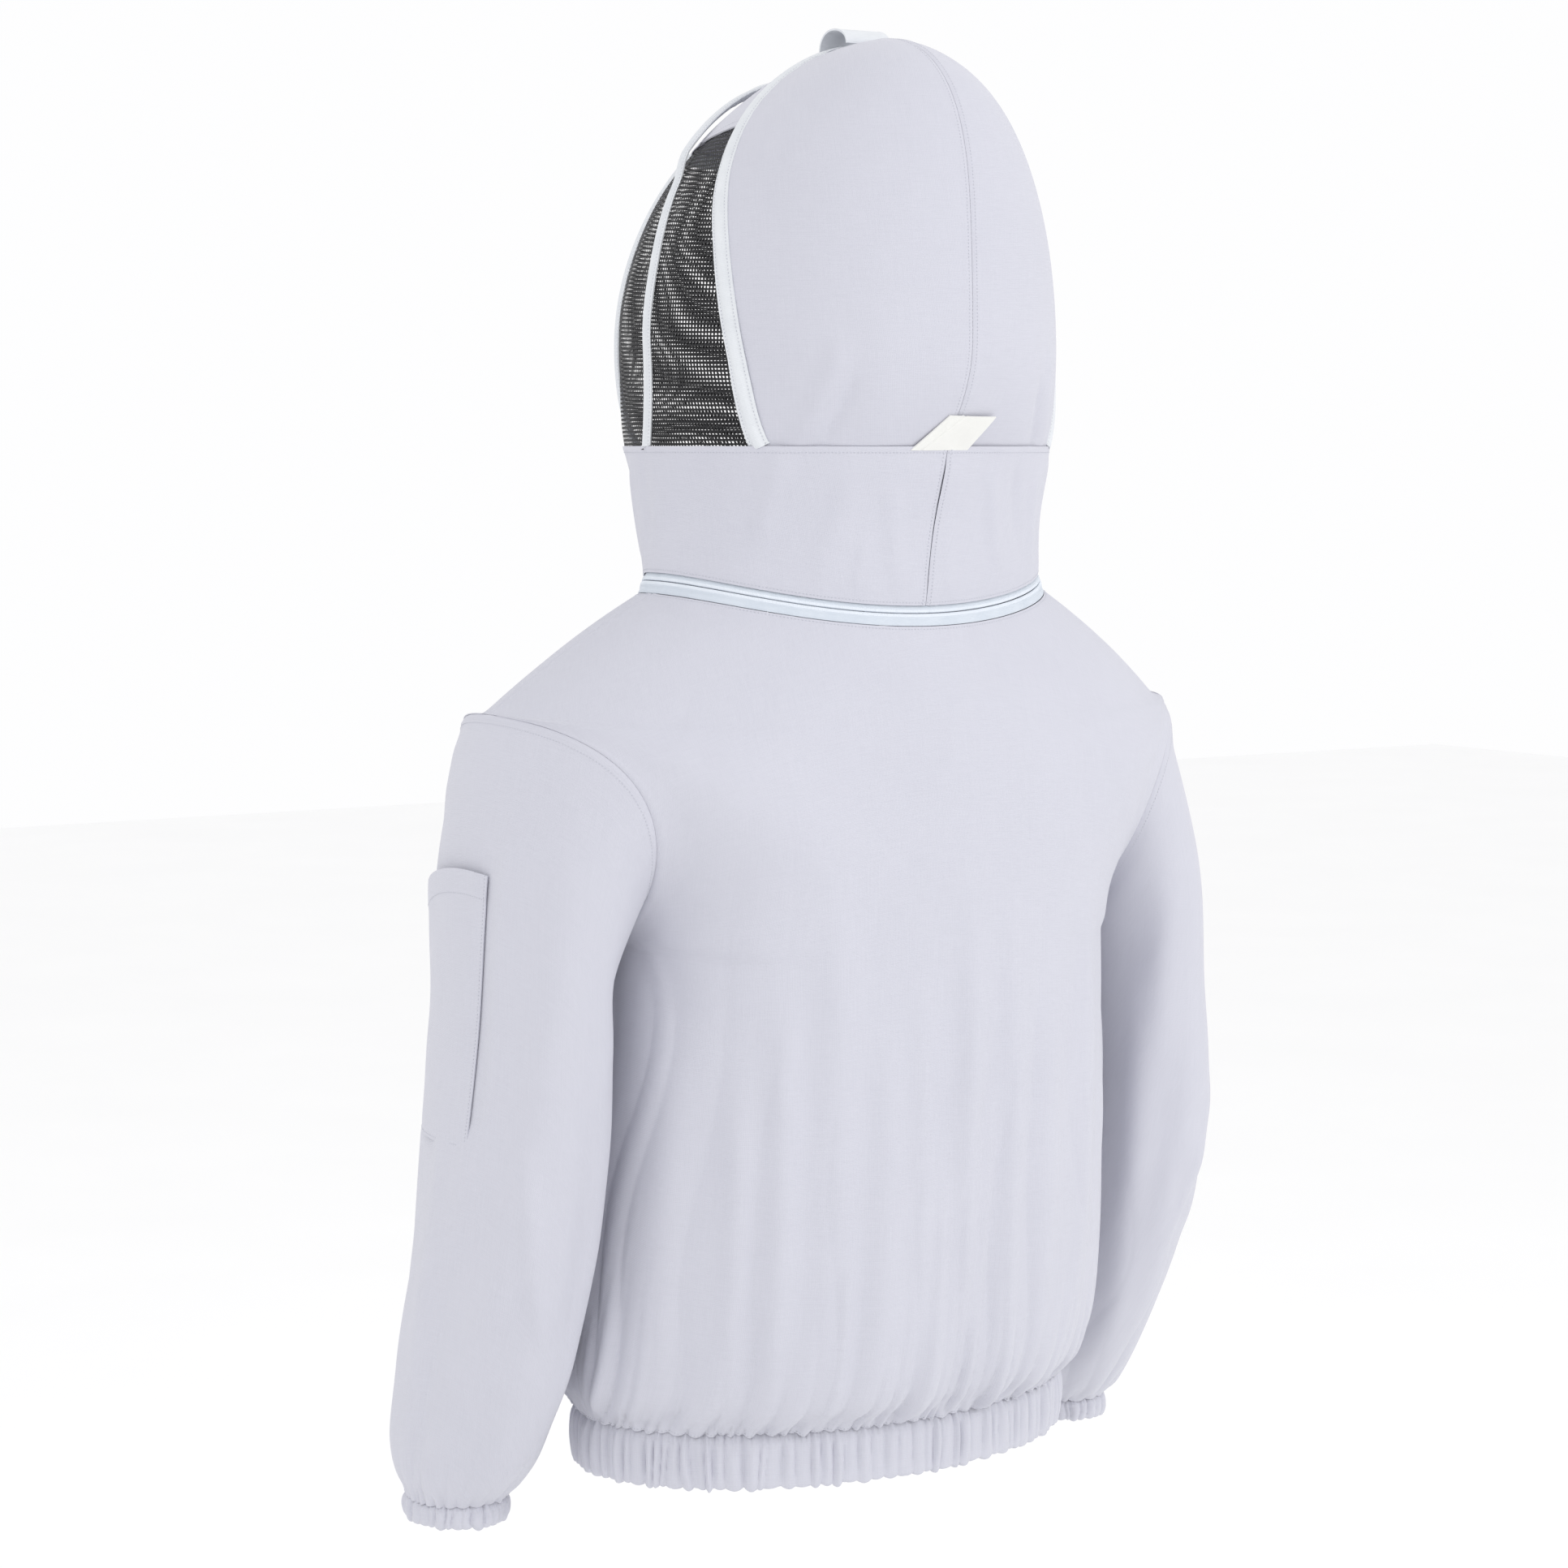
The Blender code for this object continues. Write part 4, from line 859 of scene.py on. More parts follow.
def inset_border(grid, rows=(0.0, 0.0), cols=(0.0, 0.0)):
    """Cuts distances off a grid's borders by sampling it again between them."""
    for axis, (first, last) in ((0, rows), (1, cols)):
        far = lengths(grid, axis)
        count = grid.shape[axis]
        g, f = np.moveaxis(grid, axis, 0), np.moveaxis(far, axis, 0)
        made = np.empty_like(g)
        share = np.linspace(0, 1, count)
        for j in range(g.shape[1]):
            at = first + (f[-1, j] - first - last) * share
            made[:, j] = sampled(g[:, j], f[:, j], at)
        grid = np.moveaxis(made, 0, axis)
    return grid


# Soft folds of the hood's back, over the distance from its seam and up it: start, end, width, height, lean
HOOD_FOLDS = (
    ((118, -8), (96, 88), 9.0, 2.6, 0.6), ((98, -4), (84, 60), 5.0, -1.8, 0.5),
    ((60, -10), (72, 120), 16.0, 1.2), ((12, 40), (20, 260), 22.0, 0.9),
)


def make_hood_backs():
    """The two halves of the hood's back, sewn together at the middle, under the rear hoop's tape."""
    rear = rear_half(400)
    shoulder = int(np.argmin(np.abs(rear[:, 0] - 45) + (rear[:, 2] < 350) * 999))
    seam_z = np.linspace(COLLAR_TOP, CROWN - 0.5, 120)
    seam_up = hood_at(0 * seam_z, seam_z)
    seam_top = onto_hood(np.stack([np.zeros(16), np.linspace(CROWN_Y, 22, 16), np.full(16, 407.0)], -1))
    rows, cols = 170, 92
    seam = even(np.concatenate([seam_up, seam_top[1:]]), rows)
    grid = coons(collar_edge(COLLAR_BACK, REAR_Y[0], cols), even(rear[shoulder:], cols)[::-1],
                 seam, even(rear[: shoulder + 1], rows))
    grid[1:-1, 1:-1] = onto_hood(grid[1:-1, 1:-1])
    grid = inset_border(grid, rows=(0.0, 3.0), cols=(0.12, 3.2))
    rows_of = []
    for side, sign in SIDES:
        g = on_side(grid, sign)
        x, z = g[..., 0], g[..., 2]
        from_seam, up = lengths(g, 1), lengths(g, 0)
        relief = 1.1 * drift(x, z, 3, 170.0)
        for fold in HOOD_FOLDS:
            relief += crease(from_seam, up, *fold)
        near = np.minimum(from_seam, 60)
        relief -= 0.55 * hump(from_seam, 1.0)
        relief += 0.35 * hump(from_seam - 3.5, 2.4) * (1 + 0.4 * drift(near, z, 8, 26.0))
        edge = lengths(g[:, ::-1], 1)[:, ::-1]
        relief += gathers(up, edge, 61, 0.7, (9.0, 17.0, 34.0), (5.0, 9.0, 16.0))
        relief *= smooth(up / 4.0) * 0.9 + 0.1
        sheet = Sheet(f"hood_back_cloth_{side}", g, hood_centre(g), relief)
        finish(sheet.obj, COTTON, "hood", [f"hood_back_{side}"])
        sheet.declare()
        rows_of.append(sheet.line("left", 3.2))
    finish(stitches("hood_seam_stitches", rows_of, 1.6, 0.34, 0.24, 2.4), THREAD, "hood")


def make_visor():
    """The peak over the crown, from the rear hoop to the brow, with its edge turned over the net."""
    temple_side = hoop_side(FRONT_Z, FRONT_Y, np.array([VISOR_FRONT]))[0]
    rear_side = hoop_side(REAR_Z, REAR_Y, np.array([VISOR_SIDE]))[0]
    middle_side = hoop_side(MIDDLE_Z, MIDDLE_Y, np.array([VISOR_MID]))[0]

    def brim(a, b, count):
        angles = hood_angle(np.array([a[1], b[1]]), np.array([a[2], b[2]]))
        return hood_at(np.linspace(*angles, count), np.linspace(a[2], b[2], count))

    rear = rear_half(400)
    crown = np.concatenate([[rear_side], rear[rear[:, 2] > VISOR_SIDE + 1]])
    cols, rows = 220, 70
    temple = hood_angle(temple_side[1], VISOR_FRONT)
    brow = hood_at(np.linspace(temple, math.pi, 60)[1:], np.full(59, VISOR_FRONT))
    front_edge = even(whole(np.concatenate([brim(middle_side, temple_side, 60), brow])), cols)
    left = brim(rear_side, middle_side, rows)
    grid = coons(even(whole(crown), cols), front_edge, left, mirrored(left))
    grid[1:-1, 1:-1] = onto_hood(grid[1:-1, 1:-1])
    grid = inset_border(grid, rows=(3.0, 2.6), cols=(-2.5, -2.5))
    side = lengths(grid, 1)
    far = lengths(grid, 0)
    edge = np.minimum(side, side[:, -1:] - side)
    relief = 0.9 * drift(grid[..., 0], grid[..., 1], 12, 120.0) * smooth(edge / 20)
    relief += 0.5 + 0.7 * hump(edge, 6.0, 4)
    relief += gathers(side, far, 71, 0.5, (10.0, 19.0, 34.0), (5.0, 9.0, 15.0))
    # The cloth passes under the middle hoop, which lies over it.
    sheet = Sheet("visor_cloth", grid, hood_centre(grid), relief)
    finish(sheet.obj, COTTON, "hood", ["visor"])
    sheet.declare()
    rows_of = [sheet.line("left", 6.5), sheet.line("right", 6.5)]
    finish(stitches("visor_stitches", rows_of, 1.6, 0.34, 0.24), THREAD, "hood")


HOOP_WIRE_Z = 1.5


def hoop_path(half, lift):
    path = whole(half(110))
    along = unit(np.gradient(path, axis=0))
    out = outward_at(path, along)
    wide = np.cross(along, out)
    path[[0, -1], 2] += HOOP_WIRE_Z
    if lift:
        path = path + out * OVER_VISOR * smooth((path[:, 2:] - VISOR_MID + 32.0) / 24.0)
    return path, out, wide


def make_hoop_tapes():
    """Tape sewn down on both sides of each hoop's wire: a round ridge between two flat edges."""
    profile = [(-0.9, -7.2), (0.1, -7.4), (0.5, -6.9), (0.7, -5.4), (0.8, -4.4), (1.6, -3.5), (2.5, -2.4),
               (2.95, -1.2), (3.05, 0.0)]
    profile += [(a, -b) for a, b in profile[-2::-1]] + [(-1.2, 3.5), (-1.8, 0.0), (-1.2, -3.5)]
    rows_of = []
    for name, half in (("rear", rear_half), ("middle", middle_half), ("front", front_half)):
        path, out, wide = hoop_path(half, name == "middle")
        s = distances(path)
        narrow = {"rear": 1.0, "middle": 0.82, "front": 0.82}[name]
        profile_here = np.array(profile)[None] * np.ones((len(path), 1, 1))
        profile_here[..., 1] *= narrow * (1 + 0.035 * drift(s, 0 * s, 5, 60.0))[:, None]
        obj = swept(f"hoop_tape_{name}", sections(path, out, wide, profile_here))
        finish(obj, TAPE_CLOTH, "hood", [f"hoop_binding_{name}"])
        for sign in (-1, 1):
            line = path + wide * sign * 5.2 * narrow + out * 0.72
            rows_of.append((line, out))
    finish(stitches("hoop_stitches", rows_of, 1.6, 0.36, 0.3), THREAD, "hood")


def net_panel(name, edges, low, high, seed):
    """Knitted net between two hoops: square holes between crossing threads, cut off under the tapes."""
    z = np.arange(low, high + NET_PITCH, NET_PITCH)
    spans = [edges(height) for height in z]
    middle = [0.5 * (a + b) for a, b in spans]
    rows = []
    half = NET_THREAD / 2
    widest = 0.0
    for (a, b), centre, height in zip(spans, middle, z):
        fine = np.linspace(a, b, 80)
        ring = hood_at(fine, np.full(80, height))
        s = distances(ring)
        s = s - np.interp(centre, fine, s) if b > a else s
        rows.append((fine, s))
        widest = max(widest, abs(s[0]), abs(s[-1]))
    count = int(widest / NET_PITCH) + 1
    at = np.arange(-count, count + 1) * NET_PITCH
    inside = np.array([(at > s[0] + 1.0) & (at < s[-1] - 1.0) for _, s in rows])

    def point(i, offset_z, s_at):
        fine, s = rows[i]
        angle = np.interp(s_at, s, fine)
        return hood_at(angle, np.full_like(angle, z[i] + offset_z))

    rng = chance(seed)
    uneven = rng.normal(0, 0.13, (len(z), len(at)))
    knots = np.stack([point(i, dz, at + ds + uneven[i])
                      for dz, ds in ((-half, -half), (-half, half), (half, half), (half, -half))
                      for i in range(len(z))]).reshape(4, len(z), len(at), 3)
    out = unit(knots.mean(0) - np.array([0, HOOD_MID_Y, 190.0]))
    sag = 1.1 * drift(knots[0, ..., 1] + knots[0, ..., 0], knots[0, ..., 2], seed + 5, 90.0)
    knots = knots + out * (sag - 0.3)[None, ..., None]
    points = np.moveaxis(knots, 0, 2).reshape(-1, 3)
    base = np.arange(len(z) * len(at)).reshape(len(z), len(at)) * 4
    faces = [np.stack([base[inside] + k for k in range(4)], -1)]
    side = inside[:, :-1] & inside[:, 1:]
    a, b = base[:, :-1][side], base[:, 1:][side]
    faces.append(np.stack([a + 1, b, b + 3, a + 2], -1))
    up = inside[:-1] & inside[1:]
    a, b = base[:-1][up], base[1:][up]
    faces.append(np.stack([a + 3, a + 2, b + 1, b], -1))
    faces = np.concatenate(faces)
    used = np.unique(faces)
    where = np.full(len(points), -1)
    where[used] = np.arange(len(used))
    flat = np.stack([np.tile(at, len(z)), np.repeat(z, len(at))], -1)
    flat = np.repeat(flat, 4, 0) + np.tile([(-half, -half), (half, -half), (half, half), (-half, half)],
                                           (len(z) * len(at), 1))
    obj = mesh_object(name + "_net", points[used], where[faces], flat[used], 180.0)
    obj.data.shade_flat()
    finish(obj, NET, "hood", [name])


def make_nets():
    """One net between each pair of hoops, and one from the front hoop round to its other side."""
    rear, middle, front = (REAR_Z, REAR_Y), (MIDDLE_Z, MIDDLE_Y), (FRONT_Z, FRONT_Y)
    low = COLLAR_TOP + 0.6

    def at(hoop, height, top):
        inside = min(max(height, COLLAR_TOP), top)
        return float(hood_angle(through(*hoop, inside), inside)[0])

    for side, sign in SIDES:
        for part, a, b, top, seed in (("side", rear, middle, VISOR_SIDE, 31),
                                      ("cheek", middle, front, VISOR_MID, 32)):
            def edges(height):
                return sorted((sign * at(a, height, top), sign * at(b, height, top)))
            net_panel(f"veil_{part}_mesh_{side}", edges, low, top - 1, seed)

    def brow_edges(height):
        start = at(front, height, VISOR_FRONT)
        return start, 2 * math.pi - start
    net_panel("veil_front_mesh", brow_edges, low, VISOR_FRONT + 1.0, 33)


# Soft folds over the collar, from the seam at the back: start, end, width, height and lean
COLLAR_FOLDS = {
    "left": (
        ((26, 4), (44, 96), 8.0, 1.5, 0.7), ((92, 2), (70, 100), 11.0, 2.0, 0.8),
        ((120, 112), (136, 24), 9.0, 2.0, -0.7), ((165, 100), (205, 14), 14.0, -2.6, 0.5),
        ((60, 2), (54, 52), 5.0, 1.0, 0.8),
    ),
    "right": (
        ((38, 108), (70, 8), 8.0, 2.4, 0.8), ((66, 104), (92, 30), 7.0, -1.8, 0.8),
        ((20, 2), (14, 66), 8.0, 1.2, 0.6), ((104, 96), (120, 10), 10.0, 2.0, 0.5),
    ),
}


def make_collar():
    """The deep collar below the net, in two halves sewn at the back, stitched to the zip's tape."""
    rows, cols = 74, 300
    angle = np.linspace(0, math.pi, cols)
    t = np.linspace(0, 1, rows)[:, None, None]
    top = hood_at(angle, np.full(cols, COLLAR_TOP + 2.2))
    low = neck(angle, down=-(ZIP_TAPE - 2.6), out=0.25)
    rows_of, tops = [], []
    for side, sign in SIDES:
        g = inset_border(on_side(low * (1 - t) + top * t, sign), cols=(0.12, 0.12))
        s, up = lengths(g, 1), lengths(g, 0)
        tall = up[-1:]
        share = up / tall
        within = smooth(share / 0.2) * smooth((1 - share) / 0.2)
        relief = 0.4 + 1.4 * drift(s, up, 21 + int(sign), 150.0) * within
        relief -= 5.0 * np.sin(math.pi * share) ** 2 * 0.35
        for fold in COLLAR_FOLDS[side]:
            relief += crease(s, up, *fold)
        for seed, start in ((1, 230), (2, 300), (3, 370)):
            lean = 30 * math.sin(seed * 2.1)
            relief += crease(s, up, (start, 6), (start + lean, 98), 10.0, 1.8 * (-1) ** seed, 0.6)
        relief += gathers(s, up, 41, 0.5, (11.0, 23.0, 52.0), (6.0, 16.0, 34.0))
        relief += 0.3 * hump(s - 3.2, 2.2) - 0.5 * hump(s, 1.0)
        relief += 0.5 * hump(tall - up, 5.0, 4) + 0.7
        sheet = Sheet(f"collar_cloth_{side}", g, middle_line(g), relief)
        finish(sheet.obj, COTTON, "hood", [f"collar_{side}"])
        sheet.declare()
        rows_of += [sheet.line("bottom", 2.2), sheet.line("left", 3.0)]
        tops.append(sheet.line("top", 4.5))
    finish(stitches("collar_stitches", rows_of + tops), THREAD, "hood")


# ---------------------------------------------------------------- torso


def torso_rows(count_low, count_rest):
    """Rows from hem to neck, close together over the gathers."""
    low = np.linspace(0, 0.05, count_low)[:-1]
    mid = np.linspace(0.05, 0.16, count_low)[:-1]
    return np.concatenate([low, mid, np.linspace(0.16, 1, count_rest)])


def torso_relief(g, s, rise, seed, folds):
    """Blouson gathers over the hem, then long soft folds up the cloth."""
    x, z = g[..., 0], g[..., 2]
    relief = gathers(s, rise, seed, 9.5, (9.5, 19.0, 44.0), (15.0, 58.0, 190.0))
    relief += 3.2 * smooth(rise / 30.0) * hump(rise - 40.0, 60.0)
    body = smooth(rise / 40.0) * smooth((-(z) - 20.0) / 120.0)
    relief += 3.0 * drift(x * 1.5, z * 0.35, seed + 7, 190.0) * body
    for where, top, low, width, height, sharp in folds:
        bold = 1.9 if abs(where) < 150 else 1.0
        relief += crease(x, z, (where + 0.02 * where, low), (where, top), width * 0.75, height * bold, sharp)
    return relief


BACK_FOLDS = (
    (-4, -170, -560, 15, 3.2, 0.55), (30, -230, -585, 13, 1.8, -0.5), (62, -260, -590, 17, 2.2, 0.5),
    (98, -130, -590, 20, 2.6, 0.5), (128, -220, -590, 14, 2.6, -0.7), (158, -300, -590, 12, 3.2, 0.8),
    (-44, -190, -590, 15, 2.4, 0.6), (-84, -240, -590, 17, 2.0, -0.5), (-126, -160, -590, 16, 2.4, 0.6),
    (-164, -300, -590, 13, 2.6, 0.7), (16, -380, -590, 8, 1.6, 0.7), (-24, -330, -590, 8, 1.4, 0.7),
    (84, -430, -590, 8, 1.6, -0.7), (190, -250, -560, 12, 3.4, 0.6), (-190, -250, -560, 12, 3.4, 0.6),
)
FRONT_FOLDS = (
    (40, -120, -560, 14, 2.2, 0.6), (78, -150, -590, 16, 2.6, -0.6), (116, -210, -590, 15, 2.6, 0.6),
    (150, -260, -590, 14, 2.8, -0.6), (182, -280, -590, 12, 3.0, 0.6), (60, -360, -590, 9, 1.8, 0.6),
)


def make_torso():
    rows_of = []
    v = torso_rows(30, 118)
    half = torso(v[:, None], np.linspace(0, 1, 172)[None], True)
    g = np.concatenate([mirrored(half[:, :0:-1]), half], axis=1)
    g = meet_at_tip(inset_border(g))
    s, rise = lengths(g, 1), lengths(g, 0)
    s = s - s[:, half.shape[1] - 1 : half.shape[1]]
    relief = torso_relief(g, s, rise, 101, BACK_FOLDS) * smooth(to_side(g) / 24.0) + felled_edge(g)
    back = Sheet("back_cloth", g, middle_line(g), relief)
    finish(back.obj, COTTON, "jacket", ["back_panel"])
    back.declare()
    rows_of += [back.line("top", 2.0), back.line("bottom", 1.6)]
    half = front_grid(v, 172)
    for side, sign in SIDES:
        g = meet_at_tip(on_side(inset_border(half, cols=(0.6, 0.0)), sign))
        s, rise = lengths(g, 1), lengths(g, 0)
        folds = [(x * sign, *rest) for x, *rest in FRONT_FOLDS]
        relief = torso_relief(g, s * sign, rise, 131 if sign > 0 else 151, folds)
        relief *= smooth(s / 26.0) * smooth(to_side(g, one_side=True) / 24.0)
        relief *= 1 - under_pocket(on_side(g, sign))
        relief += 0.55 * hump(s, 9.0, 6) + felled_edge(g, one_side=True)
        front = Sheet(f"front_cloth_{side}", g, middle_line(g), relief)
        finish(front.obj, COTTON, "jacket", [f"front_panel_{side}"])
        front.declare()
        rows_of += [front.line("left", 3.0), front.line("left", 8.5), front.line("bottom", 1.6),
                    front.line("top", 2.0)]
    finish(stitches("jacket_stitches", rows_of), THREAD, "jacket")


def meet_at_tip(g):
    """Moves the nearest border points onto the shoulder tips, so that no hole is left in the corner."""
    for column in (0, -1):
        tip = on_side(np.array(SHOULDER_TIP), np.sign(g[0, column, 0]))
        away = np.linalg.norm(g[:, column] - tip, axis=1)
        if away.min() < 4.0:
            g[away.argmin(), column] = tip
    return g


def to_side(g, one_side=False):
    """Distance from the side, armhole and shoulder edges, where panels meet and so have no folds."""
    to_end = lengths(g[:, ::-1], 1)[:, ::-1]
    return to_end if one_side else np.minimum(lengths(g, 1), to_end)


def felled(near):
    """A felled seam's thickness beside its line, and the shallow groove at the line."""
    return 0.45 * hump(near - 3.4, 3.4, 4) - 0.2 * hump(near, 1.1)


def felled_edge(g, one_side=False):
    return felled(to_side(g, one_side))


def under_pocket(g):
    """1 where a hip pocket lies on the left front, where the cloth stays flat, falling to 0 round it."""
    corner = torso(np.array(HIP_POCKET_ROWS)[:, None], np.array(HIP_POCKET_SPAN)[None], False)
    near = 1.0
    for axis in (0, 2):
        low, high = corner[..., axis].min(), corner[..., axis].max()
        near = near * smooth((g[..., axis] - low + 20.0) / 16.0) * smooth((high + 20.0 - g[..., axis]) / 16.0)
    return near


def front_grid(v, cols):
    probe = np.linspace(0, 0.2, 80)
    first = [np.interp(ZIP_OPENING, torso(np.full(80, r), probe, False)[:, 0], probe) for r in v]
    share = np.linspace(0, 1, cols)[None]
    first = np.array(first)[:, None]
    return torso(v[:, None], first + (1 - first) * share, False)


def casing(name, path, out, height, depth, seed, spacing, bulge, closed, body, replaced):
    """A puckered casing folded up round an elastic: stitched at its top, with a scalloped lower edge."""
    s = distances(path)
    period = float(s[-1] + np.linalg.norm(path[0] - path[-1])) if closed else None
    outer_rows, turn_rows, inner_rows = 20, 5, 9
    share = np.linspace(0, 1, outer_rows)
    turn = np.linspace(0, math.pi, turn_rows + 2)[1:-1]
    outer = np.stack([0 * share, -height * share], -1)
    under = np.stack([-depth / 2 + depth / 2 * np.cos(turn), -height - 1.6 * np.sin(turn)], -1)
    inner = np.stack([np.full(inner_rows, -depth), -height * np.linspace(1, 0, inner_rows)], -1)
    profile = np.concatenate([outer, under, inner])
    fall = np.concatenate([share, np.ones(turn_rows), np.linspace(1, 0, inner_rows)])
    face = np.concatenate([np.ones(outer_rows), np.cos(turn) * 0.65 + 0.3, np.full(inner_rows, -0.35)])
    wander = s[None] + 2.2 * drift(s[None], fall[:, None] * 30, seed + 3, 45.0) * fall[:, None]
    fine = puckers(wander, seed, spacing, period)
    broad = puckers(wander, seed + 1, spacing * 2.4, period)
    tiny = puckers(s[None] + 0 * fall[:, None], seed + 2, spacing * 0.5, period)
    fall, face = fall[:, None], face[:, None]
    swell = np.sin(math.pi * fall) ** 0.7
    relief = bulge * ((fine - 0.5) * (0.35 + 0.65 * swell) + 0.55 * (broad - 0.4) * swell)
    relief += 0.45 * bulge * (tiny - 0.5) * hump(fall, 0.16) + 1.2 * swell
    scallop = bulge / 2.4 * ((fine - 0.5) * 1.5 + (broad - 0.5) * 0.9) * smooth((fall - 0.75) / 0.25)
    lift = 0.5 * (tiny - 0.5) * hump(fall, 0.1)
    tucked = CASING_TUCK * hump(fall, 0.09) * (face > 0.99)
    away = profile[:, :1] + relief * face - tucked
    up = profile[:, 1:] - scallop + lift + tucked
    grid = path[None] + out[None] * away[..., None] + UP * up[..., None]
    along, across = np.gradient(grid, axis=0), np.gradient(grid, axis=1)
    if closed:
        across = np.roll(grid, -1, 1) - np.roll(grid, 1, 1)
    normal = unit(np.cross(across, along))
    if (normal[:outer_rows] * out[None]).sum() < 0:
        normal = -normal
    points = np.concatenate([grid.reshape(-1, 3), (grid - normal * CLOTH).reshape(-1, 3)])
    faces = fix_winding(points, shell_faces(*grid.shape[:2], closed))
    uv = np.stack([s[None] * GATHERED + 0 * up, lengths(grid, 0)], -1).reshape(-1, 2)
    obj = mesh_object(name, points, faces, np.concatenate([uv, uv]))
    finish(obj, COTTON, body, [replaced])


def make_hem():
    opening = math.asin((ZIP_OPENING + 0.4) / HEM_HALF_WIDTH)
    angle = np.linspace(-math.pi + opening, math.pi - opening, 1150)
    path, out = ellipse((0.0, HEM_MID_Y), HEM_HALF_WIDTH, HEM_HALF_DEPTH, HEM_TOP - 0.4, angle)
    casing("hem_casing_cloth", path, out, HEM_TOP - HEM_BOTTOM - 2.0, 7.2, 201, 9.0, 4.8, False, "jacket",
           "hem_casing")


def ellipse(centre, half_width, half_depth, z, angle):
    path = np.stack([centre[0] + half_width * np.sin(angle), centre[1] + half_depth * np.cos(angle),
                     z + 0 * angle], -1)
    out = unit(np.stack([np.sin(angle) * half_depth, np.cos(angle) * half_width, 0 * angle], -1))
    return path, out


# ---------------------------------------------------------------- sleeves


def bends_with(obj):
    """Bakes the object's placement into its mesh points."""
    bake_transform(obj)


SLEEVE_ROUND = 400.0  # a sleeve's girth on which its folds are laid out, from its inner side backwards
SLEEVE_FLAT = (162.0, 283.0)  # places round the left sleeve between which its pocket keeps it flat
# Place round the sleeve, lean, width, height and tip of each fold, and its start and end as shares
SLEEVE_FOLDS = (
    (168, 24, 15, 2.8, 0.6, 0.02, 0.72), (212, -18, 13, 2.4, -0.6, 0.25, 0.98),
    (128, 26, 14, 2.6, 0.5, 0.1, 0.9), (90, -20, 16, 3.0, 0.6, 0.02, 0.6),
    (58, 30, 12, 3.2, 0.6, 0.12, 0.85), (262, 20, 14, 2.6, 0.6, 0.05, 0.7),
    (304, -26, 15, 2.8, -0.6, 0.15, 0.95), (342, 20, 13, 3.0, 0.6, 0.03, 0.7),
    (20, -14, 12, 3.4, 0.6, 0.05, 0.8), (150, -40, 9, 1.8, 0.8, 0.45, 0.7),
    (110, 44, 9, 1.8, -0.8, 0.5, 0.75),
)


def sleeve_relief(g, turn, t, mirror_seed):
    """Long folds along the sleeve, pull lines below the armhole and gathers above the cuff."""
    around = lengths(joined(g), 1)[:, -1:]
    a = turn[None] / (2 * math.pi) * SLEEVE_ROUND + 0 * t[:, None]
    down = lengths(g, 0)
    rise = down[-1:] - down
    relief = gathers(a, rise, 301 + mirror_seed, 6.6, (14.0, 30.0, 62.0), (11.0, 40.0, 150.0),
                     SLEEVE_ROUND)
    relief *= np.minimum(1.0, around / 260.0)
    relief += 2.6 * smooth(rise / 18.0) * hump(rise - 26.0, 34.0)
    body = smooth(down / 30.0) * smooth(rise / 50.0)
    long = down.max()
    for centre, lean, width, height, sharp, first, last in SLEEVE_FOLDS:
        start, end = (centre, first * long), (centre + lean, last * long)
        for shift in (-SLEEVE_ROUND, 0.0, SLEEVE_ROUND):
            relief += crease(a + shift, down, start, end, width, height * 1.35, sharp)
    relief += 2.4 * periodic_drift(a, down, 311 + mirror_seed) * body
    relief *= smooth(down / 22.0)
    if mirror_seed == 0:  # the left sleeve, which stays almost flat under its pocket
        share = down / down[-1:]
        under = smooth((share - 0.08) / 0.05) * smooth((0.52 - share) / 0.05)
        under = under * smooth((a - SLEEVE_FLAT[0]) / 17.0) * smooth((SLEEVE_FLAT[1] - a) / 17.0)
        relief *= 1 - 0.97 * under
    return relief + felled(down)


def periodic_drift(a, b, seed):
    """Soft unevenness that meets itself round a sleeve."""
    rng = chance(seed)
    total = 0.0
    for _ in range(7):
        waves, pace, phase = rng.randint(1, 4), rng.uniform(-1.5, 1.5), rng.uniform(0, 2 * math.pi)
        turns = a / SLEEVE_ROUND * waves + b / 300.0 * pace
        total = total + np.sin(turns * 2 * math.pi + phase)
    return total / 3.5


def sleeve_rows():
    return np.concatenate([np.linspace(0, 0.05, 16)[:-1], np.linspace(0.05, 0.82, 92)[:-1],
                           np.linspace(0.82, 1, 50)])


def make_sleeves():
    t, turn = sleeve_rows(), full_turn(280)
    grid = sleeve(t, turn)
    grid[0] = armhole(turn)
    for side, sign in SIDES:
        seed = 0 if side == "left" else 50
        g = inset_border(on_side(grid, sign), rows=(0.15, -1.2))
        core = g.mean(axis=1, keepdims=True) + 0 * g
        sheet = Sheet(f"sleeve_cloth_{side}", g, core, sleeve_relief(g, turn, t, seed), wrap=True)
        finish(sheet.obj, COTTON, None, [f"sleeve_{side}"])
        sheet.declare()
        bends_with(sheet.obj)
        line, normal = sheet.line("bottom", 6.4)
        close = [np.concatenate([a, a[:1]]) for a in (line, normal)]
        obj = finish(stitches(f"armhole_stitches_{side}", [close]), THREAD, None)
        bends_with(obj)
        angle = full_turn(420)
        path, out = ellipse(CUFF_CENTRE, CUFF_HALF_WIDTH, CUFF_HALF_DEPTH, CUFF_TOP - 0.4, angle)
        casing(f"cuff_casing_cloth_{side}", on_side(path, sign), on_side(out, sign), CUFF_HEIGHT - 1.4, 6.0,
               401 + seed, 7.0, 3.4, True, f"sleeve_{side}", f"cuff_casing_{side}")


# ---------------------------------------------------------------- pockets


